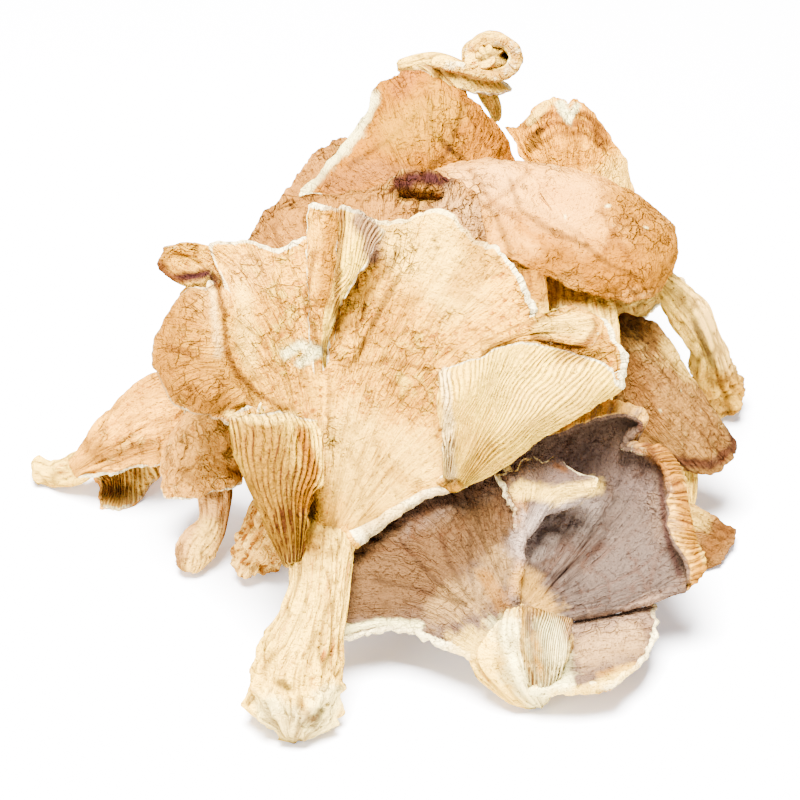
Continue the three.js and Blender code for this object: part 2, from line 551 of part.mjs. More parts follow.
// A mushroom under the big fan, of which the thick spongy end of the stem looks out.
const spongyStub = () => {
  const cap = sheet({
    gills: 8, rows: 4, thick: [3.6, 1.6], seed: 91,
    spokes: [
      [[-19, -9, -1], [-25, -2, -5], [-30, 6, -9]],
      [[-18, -8, -1], [-20, 4, -7], [-22, 14, -12]],
      [[-16.5, -7.5, -1], [-13, 4, -7], [-11, 14, -12]],
      [[-15.5, -8, -1], [-6, 3, -6], [1, 11, -11]],
      [[-15, -9, -1], [-3, -3, -4], [8, 3, -8]],
      [[-15, -10, -1], [-4, -10, -1], [7, -8, -3]],
    ],
  });
  const foot = stem({
    sides: 12, rings: 5, ripple: 0.1, seed: 92,
    line: [[-30.2, -32.8, 3], [-27.2, -28.5, -1.5], [-22, -19, 0], [-16.5, -8, -0.5]],
    widths: [[4.6, 5], [6, 5.8], [4.6, 4.6], [4.6, 2.6]],
  });
  return grownTogether([cap, foot]);
};

// A long brown cap that hangs down on the right to a dark tip.
const brownTongue = () => {
  const cap = sheet({
    gills: 10, rows: 6, thick: [3.4, 1.6], seed: 101,
    spokes: [
      [[45, 16, 9], [50.5, 14.5, 8.5], [55, 8, 10], [57, 0, 12.5]],
      [[44, 15.5, 7.5], [50.5, 10.5, 6.5], [58, 2, 7], [67, -8.6, 10.5]],
      [[43, 14.5, 6.5], [50, 5, 3.5], [58, -4, 4], [66.6, -11.4, 8]],
      [[42, 13, 6.5], [49, 0, 2.5], [56, -8, 3], [61.6, -14.2, 6]],
      [[41, 12, 7], [45.5, -1, 4.5], [49.5, -8, 4.8], [54.5, -12.6, 6]],
      [[40, 12, 8], [41.5, 0, 8], [43, -7, 9], [46, -13, 10]],
    ],
  });
  const foot = stem({
    sides: 8, rings: 5, seed: 102,
    line: [[43.5, 13, 8], [42.5, 8, 13], [42, 2, 20], [42, -4, 32], [42, -7, 38.2]],
    widths: [[4, 2], [4, 3.4], [3.6, 3.4], [4, 3.6], [4.4, 3.8]],
  });
  return grownTogether([cap, foot]);
};

// A small mushroom on its cap at the lower right, with its thin stem up.
const lowRight = () => {
  const cap = sheet({
    gills: 7, rows: 4, thick: [3, 1.5], gillDepth: 0.7, seed: 111,
    spokes: [
      [[50, -22, 8], [57, -21.5, 6], [62, -23.5, 7], [67.3, -26, 10]],
      [[49, -24, 7], [57, -25, 4], [62, -27, 5], [66, -29, 7.5]],
      [[49, -26, 7], [56, -28.5, 4], [60, -30.5, 3.5], [63.5, -32, 4.5]],
      [[49, -28, 7.8], [54, -31.5, 5], [57, -33, 3.8], [59.5, -34, 3.9]],
    ],
  });
  const foot = stem({
    sides: 8, rings: 5, seed: 112,
    line: [[53, -27, 7.5], [57, -21, 9], [57, -13, 11], [54, -7, 13]],
    widths: [[3.4, 1.6], [1.9, 1.8], [2.3, 1.9], [2.1, 1.8]],
  });
  return grownTogether([cap, foot]);
};

// A pale mushroom at the right whose stem, split lengthwise, reaches down to the table.
const paleStem = () => {
  const cap = sheet({
    gills: 8, rows: 4, thick: [3, 1.5], gillDepth: 0.7, ragged: 1.2, seed: 121,
    spokes: [
      [[52, 20, 16], [47, 16.5, 13], [41, 15, 14]],
      [[51, 22, 15], [45, 20, 10.5], [40, 19, 11]],
      [[51, 23, 15], [47, 23.5, 12.5], [42, 24, 14]],
      [[52, 24, 16.5], [50, 26, 18], [46, 27, 22]],
      [[54, 23, 17.5], [56, 24, 21], [56, 23, 27]],
    ],
  });
  const foot = stem({
    sides: 10, rings: 7, ripple: 0.12, seed: 122,
    line: [[66.6, -0.6, 45.2], [63.4, 3.6, 39.4], [61.4, 10.5, 28], [57.5, 18, 19], [51.5, 25, 13.5]],
    widths: [[4.6, 4.2], [5, 4.2], [3.8, 3.4], [4.2, 3], [2.6, 2]],
  });
  return grownTogether([cap, foot]);
};

// A beige cap behind the big fan, wrinkled in a net, with a curled dark bit on its rim.
const nettedCap = () => {
  const cap = sheet({
    gills: 12, rows: 6, thick: [3.6, 1.5], seed: 131,
    spokes: [
      [[-12, 14, -6], [-20, 22, -10], [-26.5, 29, -9], [-30, 31.6, -3]],
      [[-11, 16, -6], [-17, 26, -11], [-23, 34.5, -9.5], [-25.5, 38.4, -1]],
      [[-9.5, 17, -6], [-12, 28, -12], [-15, 38, -9.5], [-16.5, 41, 0]],
      [[-8, 17.5, -6], [-7, 29, -12.5], [-7, 38.5, -10.5], [-7.5, 41.2, 0]],
      [[-6.5, 17.5, -6], [-1, 29, -12.5], [1, 38, -12], [2, 41.6, -7], [2.5, 44.8, -4]],
      [[-5.5, 17, -6], [3, 28, -12.5], [7, 37, -13], [7.6, 41, -9], [8, 44.4, -6.5]],
      [[-4.5, 16, -6], [7, 25, -13.4], [12, 34, -15.6], [14.8, 41, -14.6]],
      [[-4, 15, -6], [9, 20, -13.4], [15, 28, -16.6], [17, 31, -17.6]],
    ],
  });
  const foot = stem({
    sides: 9, rings: 6, seed: 132,
    line: [[-8, 19, -6.5], [-8, 12, -1], [-7.5, 4, 6], [-7, -6, 15], [-7, -18.4, 25]],
    widths: [[4.6, 2], [4.6, 3.4], [4, 3.6], [4.2, 3.8], [4.6, 4]],
  });
  const darkCurl = stem({
    sides: 8, rings: 5, ripple: 0.2, seed: 133,
    line: [[-1, 41.4, -1.5], [1.5, 43.2, -3.4], [4.2, 43.4, -6.6], [6.2, 44, -9],
      [7.2, 42, -11.6]],
    widths: [[0.8, 0.8], [1.6, 1.6], [1.4, 1.6], [1.8, 1.6], [0.9, 0.9]],
  });
  return grownTogether([cap, foot, darkCurl]);
};

// A wide cap at the bottom of the heap's back. It lies on the rim and carries the upper ones.
const backCap = () => {
  const cap = sheet({
    gills: 12, rows: 6, thick: [4, 1.6], seed: 141,
    spokes: [
      [[0, 12, 35], [-14, 6, 34], [-26, -0.4, 36], [-36, -6.6, 40.4]],
      [[0, 14, 34], [-14, 12, 30], [-28, 10, 29], [-40, 8, 32]],
      [[0, 15, 33.5], [-12, 20, 28], [-22, 24, 26], [-32, 26, 28]],
      [[1, 16, 33], [-9, 26, 27], [-16, 34, 25], [-22, 41.5, 28]],
      [[2, 17, 33], [-5, 30, 28.5], [-11, 40, 27.5], [-15.5, 50, 30]],
      [[3, 17, 33], [-2, 32, 30], [-4, 42, 31], [-8, 52, 34]],
      [[5, 17, 33], [4, 32, 31], [5, 43, 32], [5, 54, 36]],
      [[7, 16, 33.5], [12, 28, 32], [15, 38, 33], [18, 46, 36]],
      [[8, 14, 34], [18, 20, 34], [25, 23, 36], [29, 25, 40]],
    ],
  });
  const foot = stem({
    sides: 10, rings: 5, seed: 142,
    line: [[4, 18, 32], [5, 10, 34], [9, 0.6, 35], [14, -7.2, 35.8]],
    widths: [[4, 1.6], [5.5, 4], [4.6, 4.2], [5.6, 4.6]],
  });
  return grownTogether([cap, foot]);
};

// ---------------------------------------------------------------- the heap

// All that is above the table. What would reach below it is cut flat, and rests there.
const ROOM = 400;
const aboveTable = solidOf(new THREE.BoxGeometry(ROOM, ROOM, ROOM).translate(0, 0, ROOM / 2));

const mushrooms = {
  front_fan: [frontFan, 0xe8cba4],
  grey_twin: [greyTwin, 0xb09a90],
  smooth_dome: [smoothDome, 0xdcb187],
  golden_cap: [goldenCap, 0xd99f52],
  curled_top: [curledTop, 0xe9d2ac],
  ridged_shell: [ridgedShell, 0xcf9a63],
  left_wing: [leftWing, 0xd6a56c],
  little_left: [littleLeft, 0xcf9d6c],
  spongy_stub: [spongyStub, 0xe6cb9c],
  brown_tongue: [brownTongue, 0xb9824a],
  low_right: [lowRight, 0xb98555],
  pale_stem: [paleStem, 0xe9d3a8],
  netted_cap: [nettedCap, 0xc9986a],
  back_cap: [backCap, 0xcfae80],
};

const heap = new THREE.Group();
for (const [name, [grow, color]] of Object.entries(mushrooms)) {
  const solid = mainBody(grow().intersect(aboveTable).simplify(SMALLEST_STEP));
  const material = new THREE.MeshStandardMaterial({ color, roughness: 0.85, metalness: 0 });
  const mesh = new THREE.Mesh(geometryOf(solid), material);
  mesh.name = name;
  heap.add(mesh);
}

export default heap;
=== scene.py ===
import itertools
import math

import bpy
import numpy as np
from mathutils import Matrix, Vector


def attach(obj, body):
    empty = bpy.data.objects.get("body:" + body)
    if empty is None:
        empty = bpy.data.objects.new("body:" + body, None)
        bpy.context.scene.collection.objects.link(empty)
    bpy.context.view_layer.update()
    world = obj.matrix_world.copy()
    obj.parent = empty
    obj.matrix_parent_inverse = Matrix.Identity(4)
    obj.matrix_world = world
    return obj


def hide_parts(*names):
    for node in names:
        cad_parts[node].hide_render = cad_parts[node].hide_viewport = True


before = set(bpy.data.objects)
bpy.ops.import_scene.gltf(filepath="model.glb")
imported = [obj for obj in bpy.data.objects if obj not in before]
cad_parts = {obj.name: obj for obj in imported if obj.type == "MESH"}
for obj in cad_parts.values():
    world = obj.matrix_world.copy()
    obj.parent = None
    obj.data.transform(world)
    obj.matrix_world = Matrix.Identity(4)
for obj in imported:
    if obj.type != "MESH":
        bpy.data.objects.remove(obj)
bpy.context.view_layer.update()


# ---------------------------------------------------------------- front_fan
# The largest mushroom: dried pinkish-cream flesh that split into three as it shrank. Its thin
# fan grew out of one side of the knobbly stem; torn edges show the white flesh, and the flaps
# that folded forward show the gills, which are thin blades about a millimetre apart.

# Shapes are drawn as the eye sees them, on a board that slopes back through the heap: its
# middle, its rise and run for each millimetre up the slope, and the eye's distance from it.
middle_x, middle_y, middle_z = 1.75, 0.05, 30
rise, run_back = 0.8, 0.6
eye_distance = 900


def board(points):
    """Millimetres in the part's frame, from places across, up and behind the board.

    What is behind the board spreads out, so that the eye sees it at its place."""
    across, up, behind = np.moveaxis(np.asarray(points, float), -1, 0)
    spread = 1 + behind / eye_distance
    return np.stack([
        across * spread + middle_x,
        up * spread * run_back + behind * rise + middle_y,
        middle_z + up * spread * rise - behind * run_back,
    ], -1)


def seen_at(points):
    """Where on the board points in the part's frame are seen: across and up."""
    x, y, z = np.moveaxis(points, -1, 0)
    x, y, z = x - middle_x, y - middle_y, z - middle_z
    spread = 1 + (rise * y - run_back * z) / eye_distance
    return np.stack([x / spread, (run_back * y + rise * z) / spread], -1)


def curve(points, places, closed=False):
    """Centripetal Catmull-Rom curve through points, sampled at places from 0 to 1."""
    points = np.asarray(points, float)
    if closed:
        padded = np.concatenate([points[-1:], points, points[:2]])
    else:
        before, after = 2 * points[:1] - points[1:2], 2 * points[-1:] - points[-2:-1]
        padded = np.concatenate([before, points, after])
    spans = len(padded) - 3
    where = np.clip(places, 0, 1) * spans
    span = np.minimum(where.astype(int), spans - 1)
    t = (where - span).reshape(-1, *[1] * (points.ndim - 1))
    a, b, c, d = (padded[span + i] for i in range(4))
    gaps = [np.sqrt(np.linalg.norm(q - p, axis=-1, keepdims=True))
            for p, q in ((a, b), (b, c), (c, d))]
    middle = np.where(gaps[1] < 1e-4, 1, gaps[1])
    before, after = (np.where(gill_gap_shade < 1e-4, middle, gill_gap_shade) for gill_gap_shade in (gaps[0], gaps[2]))
    start = ((b - a) / before - (c - a) / (before + middle) + (c - b) / middle) * middle
    stop = ((c - b) / middle - (d - b) / (middle + after) + (d - c) / after) * middle
    return (b + start * t + (3 * (c - b) - 2 * start - stop) * t ** 2
            + (2 * (b - c) + start + stop) * t ** 3)


def run_length(line):
    """The length of a line of points."""
    return np.linalg.norm(np.diff(line, axis=0), axis=-1).sum()


def even_curve(points, places):
    """The same curve, sampled at even steps of its length."""
    steps = np.linspace(0, 1, 201)
    run = np.cumsum(np.r_[0, np.linalg.norm(np.diff(curve(points, steps), axis=0), axis=-1)])
    return curve(points, np.interp(places * run[-1], run, steps))


def chance(cells):
    """A repeatable number from 0 to 1 for each row of whole numbers."""
    wave = np.sin(cells @ np.array([127.1, 311.7, 74.7])) * 43758.5453
    return wave - np.floor(wave)


def lumps(points, size, seed):
    """Smooth noise from -1 to 1 whose lumps are about size across. Size may differ by axis."""
    points = points / np.asarray(size, float) + seed * 7.31
    cells = np.floor(points)
    rest = points - cells
    rest = rest * rest * (3 - 2 * rest)
    total = 0
    for corner in itertools.product((0, 1), repeat=3):
        weight = np.prod(np.where(corner, rest, 1 - rest), axis=-1)
        total = total + weight * chance(cells + corner)
    return 2 * total - 1


def cracks(points, size, seed, wide=0.13):
    """A net of thin lines, 1 along the line and 0 away from it, with cells about size across."""
    bent = points + 0.25 * np.min(size) * lumps(points, np.asarray(size) * 0.5, seed)[..., None]
    return np.exp(-(lumps(bent, size, seed + 0.5) / wide) ** 2)


def step(low, high, value):
    """0 below low, 1 above high, and smooth between."""
    t = np.clip((value - low) / (high - low), 0, 1)
    return t * t * (3 - 2 * t)


def unit(ways):
    """The same ways, each of length 1."""
    return ways / np.maximum(np.linalg.norm(ways, axis=-1, keepdims=True), 1e-9)


def blades(phase, reach):
    """Thin gills at whole numbers of phase, with one more between each two further out."""
    first = (1 - np.abs(np.sin(np.pi * phase))) ** 1.3
    between = (1 - np.abs(np.cos(np.pi * phase))) ** 1.3 * step(0.3, 0.45, reach)
    return np.maximum(first, 0.85 * between)


def directions(middle, whole):
    """At each point of a sheet: out along it, sideways, and up from its smooth face."""
    out = unit(np.gradient(middle, axis=0))
    round_hub = np.roll(middle, -1, 1) - np.roll(middle, 1, 1)
    side = unit(round_hub if whole else np.gradient(middle, axis=1))
    up = unit(np.cross(side, out))
    if whole:
        up[0] = unit(up[1].mean(0))
    return out, side, up


def torn_white(torn, reach, turn, width, length, whole):
    """How much white flesh shows: only within a short way of a torn edge."""
    short_way = 0.5
    white = torn[1] * np.exp(-(1 - reach) * length / short_way)
    if not whole:
        for share, from_side in ((torn[0], turn), (torn[2], 1 - turn)):
            far_in = from_side * width * (0.3 + 0.7 * reach)
            white = np.maximum(white, share * np.exp(-far_in / short_way))
    return white * (reach > 0)


def edge_places(rows, columns, whole):
    """The row and the column of each point of a sheet's edge, in turn."""
    rim = [(rows, c) for c in range(columns - 1, -1, -1)]
    if whole:
        return np.array(rim).T
    start = [(0, c) for c in range(columns + 1)]
    far_side = [(r, columns) for r in range(1, rows + 1)]
    near_side = [(r, 0) for r in range(rows - 1, 0, -1)]
    return np.array(start + far_side + rim + near_side).T


def facing_away(edge, out, side, whole):
    """The direction in which each point of a sheet's edge faces away from it."""
    row, column = edge
    last_row, last_column = out.shape[0] - 1, out.shape[1] - 1
    outward = np.where(row == last_row, 1, np.where(row == 0, -1, 0))
    away = out[edge] * outward[:, None]
    if not whole:
        sideways = np.where(column == last_column, 1, np.where(column == 0, -1, 0))
        away = away + side[edge] * sideways[:, None]
    return unit(away)


def rounded_edge(top, under, half, away, seed):
    """Bands of points that bulge out round the edge, from the top side to the one under it."""
    bands = []
    for angle in np.radians([45, 0, -45]):
        share = (1 - np.sin(angle)) / 2
        spot = top * (1 - share) + under * share
        bulge = half * np.cos(angle) * (0.7 + 0.3 * lumps(spot, 1.1, seed))
        bands.append(spot + away * bulge[:, None])
    return bands


def joined(index, loop, bands):
    """The faces of a sheet's two sides, and of the bands round its edge that join them."""
    count = index.max() + 1
    here, right, far, outer = index[:-1, :-1], index[:-1, 1:], index[1:, 1:], index[1:, :-1]
    faces = [np.stack([here, right, far, outer], -1).reshape(-1, 4),
             np.stack([here, outer, far, right], -1).reshape(-1, 4) + count]
    round_edge = np.arange(len(loop))
    rings = [loop, *(2 * count + i * len(loop) + round_edge for i in range(bands)), loop + count]
    for above, below in zip(rings, rings[1:]):
        faces.append(np.stack([np.roll(above, -1), above, below, np.roll(below, -1)], -1))
    return np.concatenate(faces).tolist()


def sheet(spokes, gills, thick, seed, torn, grain=0.55, ragged=0.8, gill_depth=0.6,
          wrinkles=1.0, hub=None):
    """A cap, or a flap or lobe of one: a thin sheet that fans out from the stem.

    Spokes run from the stem to the rim, clockwise as seen from the smooth face; the other
    face has gills. A whole cap goes all round its hub. Thick is its thickness at the stem and
    at the rim, grain the distance between its points, and ragged how far its edges wander.
    Torn says how much white flesh shows along the first spoke, the rim and the last spoke."""
    whole = hub is not None
    lines = [board([hub, *spoke] if whole else spoke) for spoke in spokes]
    rim = np.array([line[-1] for line in lines] + [lines[0][-1]] * whole)
    width = run_length(rim)
    length = np.mean([run_length(line) for line in lines])
    columns = max(int(width / grain), gills * 10)
    rows = max(int(length / grain), 12)
    turns = np.linspace(0, 1, columns + 1)[:columns if whole else None]
    reach, turn = np.meshgrid(np.linspace(0, 1, rows + 1), turns, indexing="ij")
    along = np.array([even_curve(line, reach[:, 0]) for line in lines])
    middle = curve(along, turn[0], whole).transpose(1, 0, 2)

    # over is each point's place with the sheet laid flat, for streaks that follow its fan
    out, side, up = directions(middle, whole)
    if whole:
        flat = reach * width / (2 * np.pi)
        over = np.stack([np.cos(2 * np.pi * turn) * flat, 0.3 * reach * length,
                         np.sin(2 * np.pi * turn) * flat + seed * 9.0], -1)
    else:
        over = np.stack([turn * width, reach * length, np.full_like(reach, seed * 9.0)], -1)

    def streaks(wide, long, number):
        return lumps(over, [wide, long, wide], seed + number)

    # the edges wander, and the sheet sways as a whole
    uneven = streaks(4, 90, 0) + 0.6 * streaks(1.7, 3, 1) + 0.35 * streaks(0.7, 1, 2)
    middle = middle + out * (ragged * uneven * step(1 - 3 / length, 1, reach))[..., None]
    if not whole:
        near_side = step(1 - 2.5 / width, 1, np.abs(2 * turn - 1)) * step(0, 0.3, reach)
        uneven = 0.7 * streaks(90, 2.4, 3) + 0.45 * streaks(90, 0.8, 4)
        middle = middle + side * (ragged * np.sign(turn - 0.5) * near_side * uneven)[..., None]
    sway = 0.5 * lumps(middle, 9, seed) + 0.25 * lumps(middle, 4, seed + 1)
    middle = middle + up * (sway * step(0, 0.25, reach) * wrinkles)[..., None]

    # the smooth face, with its folds, cracks and pits
    half = (thick[0] + (thick[1] - thick[0]) * reach ** 0.6) / 2
    half = half * (1 + 0.2 * lumps(middle, 3, seed + 2) * reach)
    creased = step(-0.2, 0.5, lumps(middle, 14, seed + 3))
    crease = np.maximum(cracks(over, [5, 15, 5], seed + 4) * (0.35 + 0.65 * creased),
                        cracks(middle, [4.5] * 3, seed + 5, 0.1) * creased)
    folds = 0.36 * streaks(2.2, 12, 5) + 0.2 * streaks(1, 6, 6) + 0.2 * lumps(middle, 1.6, seed + 8)
    pits = step(0.5, 0.8, lumps(middle, 1.3, seed + 7))
    swell = folds - 0.5 * crease - 0.3 * pits
    top = middle + up * (half + wrinkles * step(0, 0.2, reach) * swell)[..., None]

    # the other face, with its gills
    phase = 2 * gills * (np.abs(turn - 0.5) if whole else turn)
    phase = phase + 0.9 * streaks(10, 9, 9) + 0.28 * streaks(3, 4, 10)
    blade = blades(phase, reach)
    depth = gill_depth * np.minimum(1, 3 * reach) * (1 - 0.6 * step(0.93, 1, reach))
    depth = depth * (1 + 0.3 * streaks(2, 5, 11))
    under = middle - up * (half + depth * blade - 0.2 * step(0.1, 0.4, reach))[..., None]

    # the edge between them, and what the flesh has to know at each point
    edge = tuple(edge_places(rows, columns, whole))
    away = facing_away(edge, out, side, whole)
    bands = rounded_edge(top[edge], under[edge], half[edge], away, seed + 12)
    index = np.arange(reach.size).reshape(reach.shape)
    loop = index[edge]
    if whole:
        index = np.concatenate([index, index[:, :1]], 1)
    white = torn_white(torn, reach, turn, width, length, whole)
    # on the gill face, crease is painted shade in the grooves between the gills
    marks = {"side": (1, 0), "rim": (white, white), "phase": (phase, phase), "stem": (0, 0),
             "reach": (reach, reach), "crease": (crease, 0.3 * (1 - blade))}
    values = {}
    for name, (on_top, on_under) in marks.items():
        on_top, on_under = on_top + 0 * reach, on_under + 0 * reach
        band = np.full(len(loop), 0.6) if name == "side" else on_top[edge]
        values[name] = np.concatenate([on_top.ravel(), on_under.ravel(), *[band] * len(bands)])
    over = over.reshape(-1, 3)
    values["fan"] = np.concatenate([over, over, *[over[loop]] * len(bands)])
    points = np.concatenate([top.reshape(-1, 3), under.reshape(-1, 3), *bands])
    return points, joined(index, loop, len(bands)), values


def stem(line, widths, seed, ripple=0.08, knobs=0.0):
    """An uneven tube of fibres along a line, each point of which has two half-widths.

    Ripple is how deep its fibres are, as a share of its width, and knobs the height of the
    lumps where it was torn from the straw it grew on."""
    grain = 0.45
    line = board(line)
    length = run_length(line)
    widest = np.max(widths)
    around = max(int(2 * np.pi * widest / grain), 24)
    steps = max(int(length / grain), 12)
    place = np.linspace(0, 1, steps + 1)
    centre = even_curve(line, place)
    ahead = unit(np.gradient(centre, axis=0))
    wide_way = unit(np.cross(ahead, [0, -0.8, 0.6]))
    deep_way = unit(np.cross(wide_way, ahead))
    size = curve(np.array(widths, float), place)
    spins = np.linspace(0, 2 * np.pi, around, endpoint=False)
    ring, spin = np.meshgrid(place, spins, indexing="ij")
    over = np.stack([np.cos(spin) * widest, ring * length, np.sin(spin) * widest + seed * 9.0], -1)

    # fibres and creases along it, rounded ends that are torn, and knobs at its foot
    crease = np.maximum(cracks(over, [2.4, 12, 2.4], seed, 0.14),
                        cracks(over, [1.3, 7, 1.3], seed + 3, 0.12))
    fibres = (0.8 * lumps(over, [2.2, 9, 2.2], seed + 1)
              + 0.5 * lumps(over, [0.9, 5, 0.9], seed + 2) - 0.5 * crease)
    lumpy = (lumps(over, 4, seed + 4) + 0.6 * lumps(over, 1.8, seed + 5)
             + 0.3 * lumps(over, 0.9, seed + 6))
    swell = 1 + 1.2 * ripple * fibres + 0.06 * lumps(over, [5, 8, 5], seed + 7)
    end = np.sqrt(np.clip(np.minimum(ring, 1 - ring) * length / (0.3 * widest), 0, 1))
    swell = swell * (0.5 + 0.5 * end)
    ragged = (0.5 * lumpy * step(0.2, 0, np.minimum(ring, 1 - ring)))[..., None] * ahead[:, None]
    spokes = (wide_way[:, None] * (np.cos(spin) * size[:, :1])[..., None]
              + deep_way[:, None] * (np.sin(spin) * size[:, 1:])[..., None])
    points = centre[:, None] + spokes * swell[..., None] + ragged
    bumpy = (lumps(points, 4.5, seed + 8) + 0.7 * lumps(points, 2.2, seed + 9)
             + 0.4 * lumps(points, 1, seed + 10) - 0.6 * cracks(points, [3.5] * 3, seed + 11))
    points = points + unit(spokes) * (knobs * bumpy * step(0.5, 0.1, ring))[..., None]

    index = np.arange(ring.size).reshape(ring.shape)
    low, high = index[:-1], index[1:]
    faces = np.stack([low, high, np.roll(high, -1, 1), np.roll(low, -1, 1)], -1)
    faces = [*faces.reshape(-1, 4).tolist(), index[0].tolist(), index[-1][::-1].tolist()]
    points = points.reshape(-1, 3)
    values = {name: np.full(len(points), value) for name, value in
              {"side": 1.0, "rim": 0.0, "phase": 0.0, "stem": 1.0}.items()}
    values["reach"], values["crease"] = ring.ravel(), crease.ravel()
    values["fan"] = over.reshape(-1, 3)
    return points, faces, values


WHITE, CREAM, GOLD, OCHRE = "f9e795", "edbe48", "dfa020", "a06a08"
TAN, BROWN, PURPLE, BLACK = "7c4e12", "56300c", "2c1512", "160b08"


def ink(code):
    """A linear colour with alpha, from the code that a screen shows."""
    parts = [int(code[i:i + 2], 16) / 255 for i in (0, 2, 4)]
    return *[p / 12.92 if p < 0.04045 else ((p + 0.055) / 1.055) ** 2.4 for p in parts], 1


def distance(spots, line):
    """How far each spot is from a line of points, or from its only point."""
    line = np.array(line, float)
    nearest = np.full(len(spots), np.inf)
    for a, b in zip(line, line[1:] if len(line) > 1 else line):
        run = b - a
        t = np.clip((spots - a) @ run / max(run @ run, 1e-9), 0, 1)
        nearest = np.minimum(nearest, np.linalg.norm(spots - a - t[:, None] * run, axis=-1))
    return nearest


def daub(points, seed, strokes):
    """Colour laid on over the flesh, one stroke over another, with rough edges.

    A stroke is a colour, how strong it is, how wide, and a line or more across and up."""
    spots = seen_at(points)
    rough = (0.6 * lumps(points, 3, seed) + 0.5 * lumps(points, 1.2, seed + 1)
             + 0.4 * lumps(points, 0.5, seed + 2))
    colour, cover = np.zeros((len(points), 3)), np.zeros(len(points))
    for tint, strength, width, *lines in strokes:
        for line in lines:
            away = distance(spots, line) * (1 + 0.45 * rough)
            laid = strength * (1 - step(0.25 * width, width, away))
            colour = colour * (1 - laid)[:, None] + np.array(ink(tint)[:3]) * laid[:, None]
            cover = cover * (1 - laid) + laid
    return np.concatenate([colour / np.maximum(cover, 1e-6)[:, None], cover[:, None]], -1)


mm_in_a_metre = 1000


def mushroom(name, shells, strokes, **look):
    """One mushroom from its shells, standing in for the solid of the same name.

    Strokes are what daub lays on it, and look is what flesh makes its material from."""
    points, faces, values = [], [], []
    for shell_points, shell_faces, shell_values in shells:
        start = sum(len(p) for p in points)
        faces += [[start + corner for corner in face] for face in shell_faces]
        points.append(shell_points)
        values.append(shell_values)
    points = np.concatenate(points)
    points[:, 2] = np.maximum(points[:, 2], 0)
    mesh = bpy.data.meshes.new(name)
    mesh.from_pydata(points / mm_in_a_metre, [], faces)
    mesh.polygons.foreach_set("use_smooth", np.ones(len(mesh.polygons), bool))
    for key in ("side", "rim", "phase", "reach", "stem", "crease"):
        made = mesh.attributes.new(key, "FLOAT", "POINT")
        made.data.foreach_set("value", np.concatenate([v[key] for v in values]))
    fan = mesh.attributes.new("fan", "FLOAT_VECTOR", "POINT")
    fan.data.foreach_set("vector", np.concatenate([v["fan"] for v in values]).ravel())
    paint = mesh.attributes.new("paint", "FLOAT_COLOR", "POINT")
    paint.data.foreach_set("color", daub(points, len(name), strokes).ravel())
    mesh.validate()
    piece = bpy.data.objects.new(name + "_look", mesh)
    bpy.context.scene.collection.objects.link(piece)
    mesh.materials.append(flesh(name + "_flesh", **look))
    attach(piece, "root")
    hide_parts(name)
    return piece


class Signal:
    """A socket of a shader tree. Arithmetic on it adds Math nodes, and node() any other."""

    def __init__(self, tree, socket=None):
        self.tree, self.socket = tree, socket

    def node(self, kind, inputs, output=0, **settings):
        made = self.tree.nodes.new("ShaderNode" + kind)
        for key, value in settings.items():
            setattr(made, key, value)
        for key, value in inputs.items():
            if isinstance(value, Signal):
                self.tree.links.new(value.socket, made.inputs[key])
            else:
                made.inputs[key].default_value = value
        return Signal(self.tree, made.outputs[output])

    def maths(self, operation, a, b=0.0):
        return self.node("Math", {0: a, 1: b}, operation=operation)

    def __add__(self, other):
        return self.maths("ADD", self, other)

    def __sub__(self, other):
        return self.maths("SUBTRACT", self, other)

    def __rsub__(self, other):
        return self.maths("SUBTRACT", other, self)

    def __mul__(self, other):
        return self.maths("MULTIPLY", self, other)

    __radd__, __rmul__ = __add__, __mul__

    def __abs__(self):
        return self.maths("ABSOLUTE", self)

    def step(self, low, high):
        return self.node("MapRange", {"Value": self, "From Min": low, "From Max": high},
                         interpolation_type="SMOOTHSTEP")

    def line(self, level, wide):
        """1 where this is at the level, falling to 0 as it moves wide of it."""
        return 1 - abs(self - level).step(0, wide)

    def blend(self, first, second):
        """From the first colour to the second as this goes from 0 to 1."""
        return self.node("Mix", {0: self, 6: first, 7: second}, output=2, data_type="RGBA")


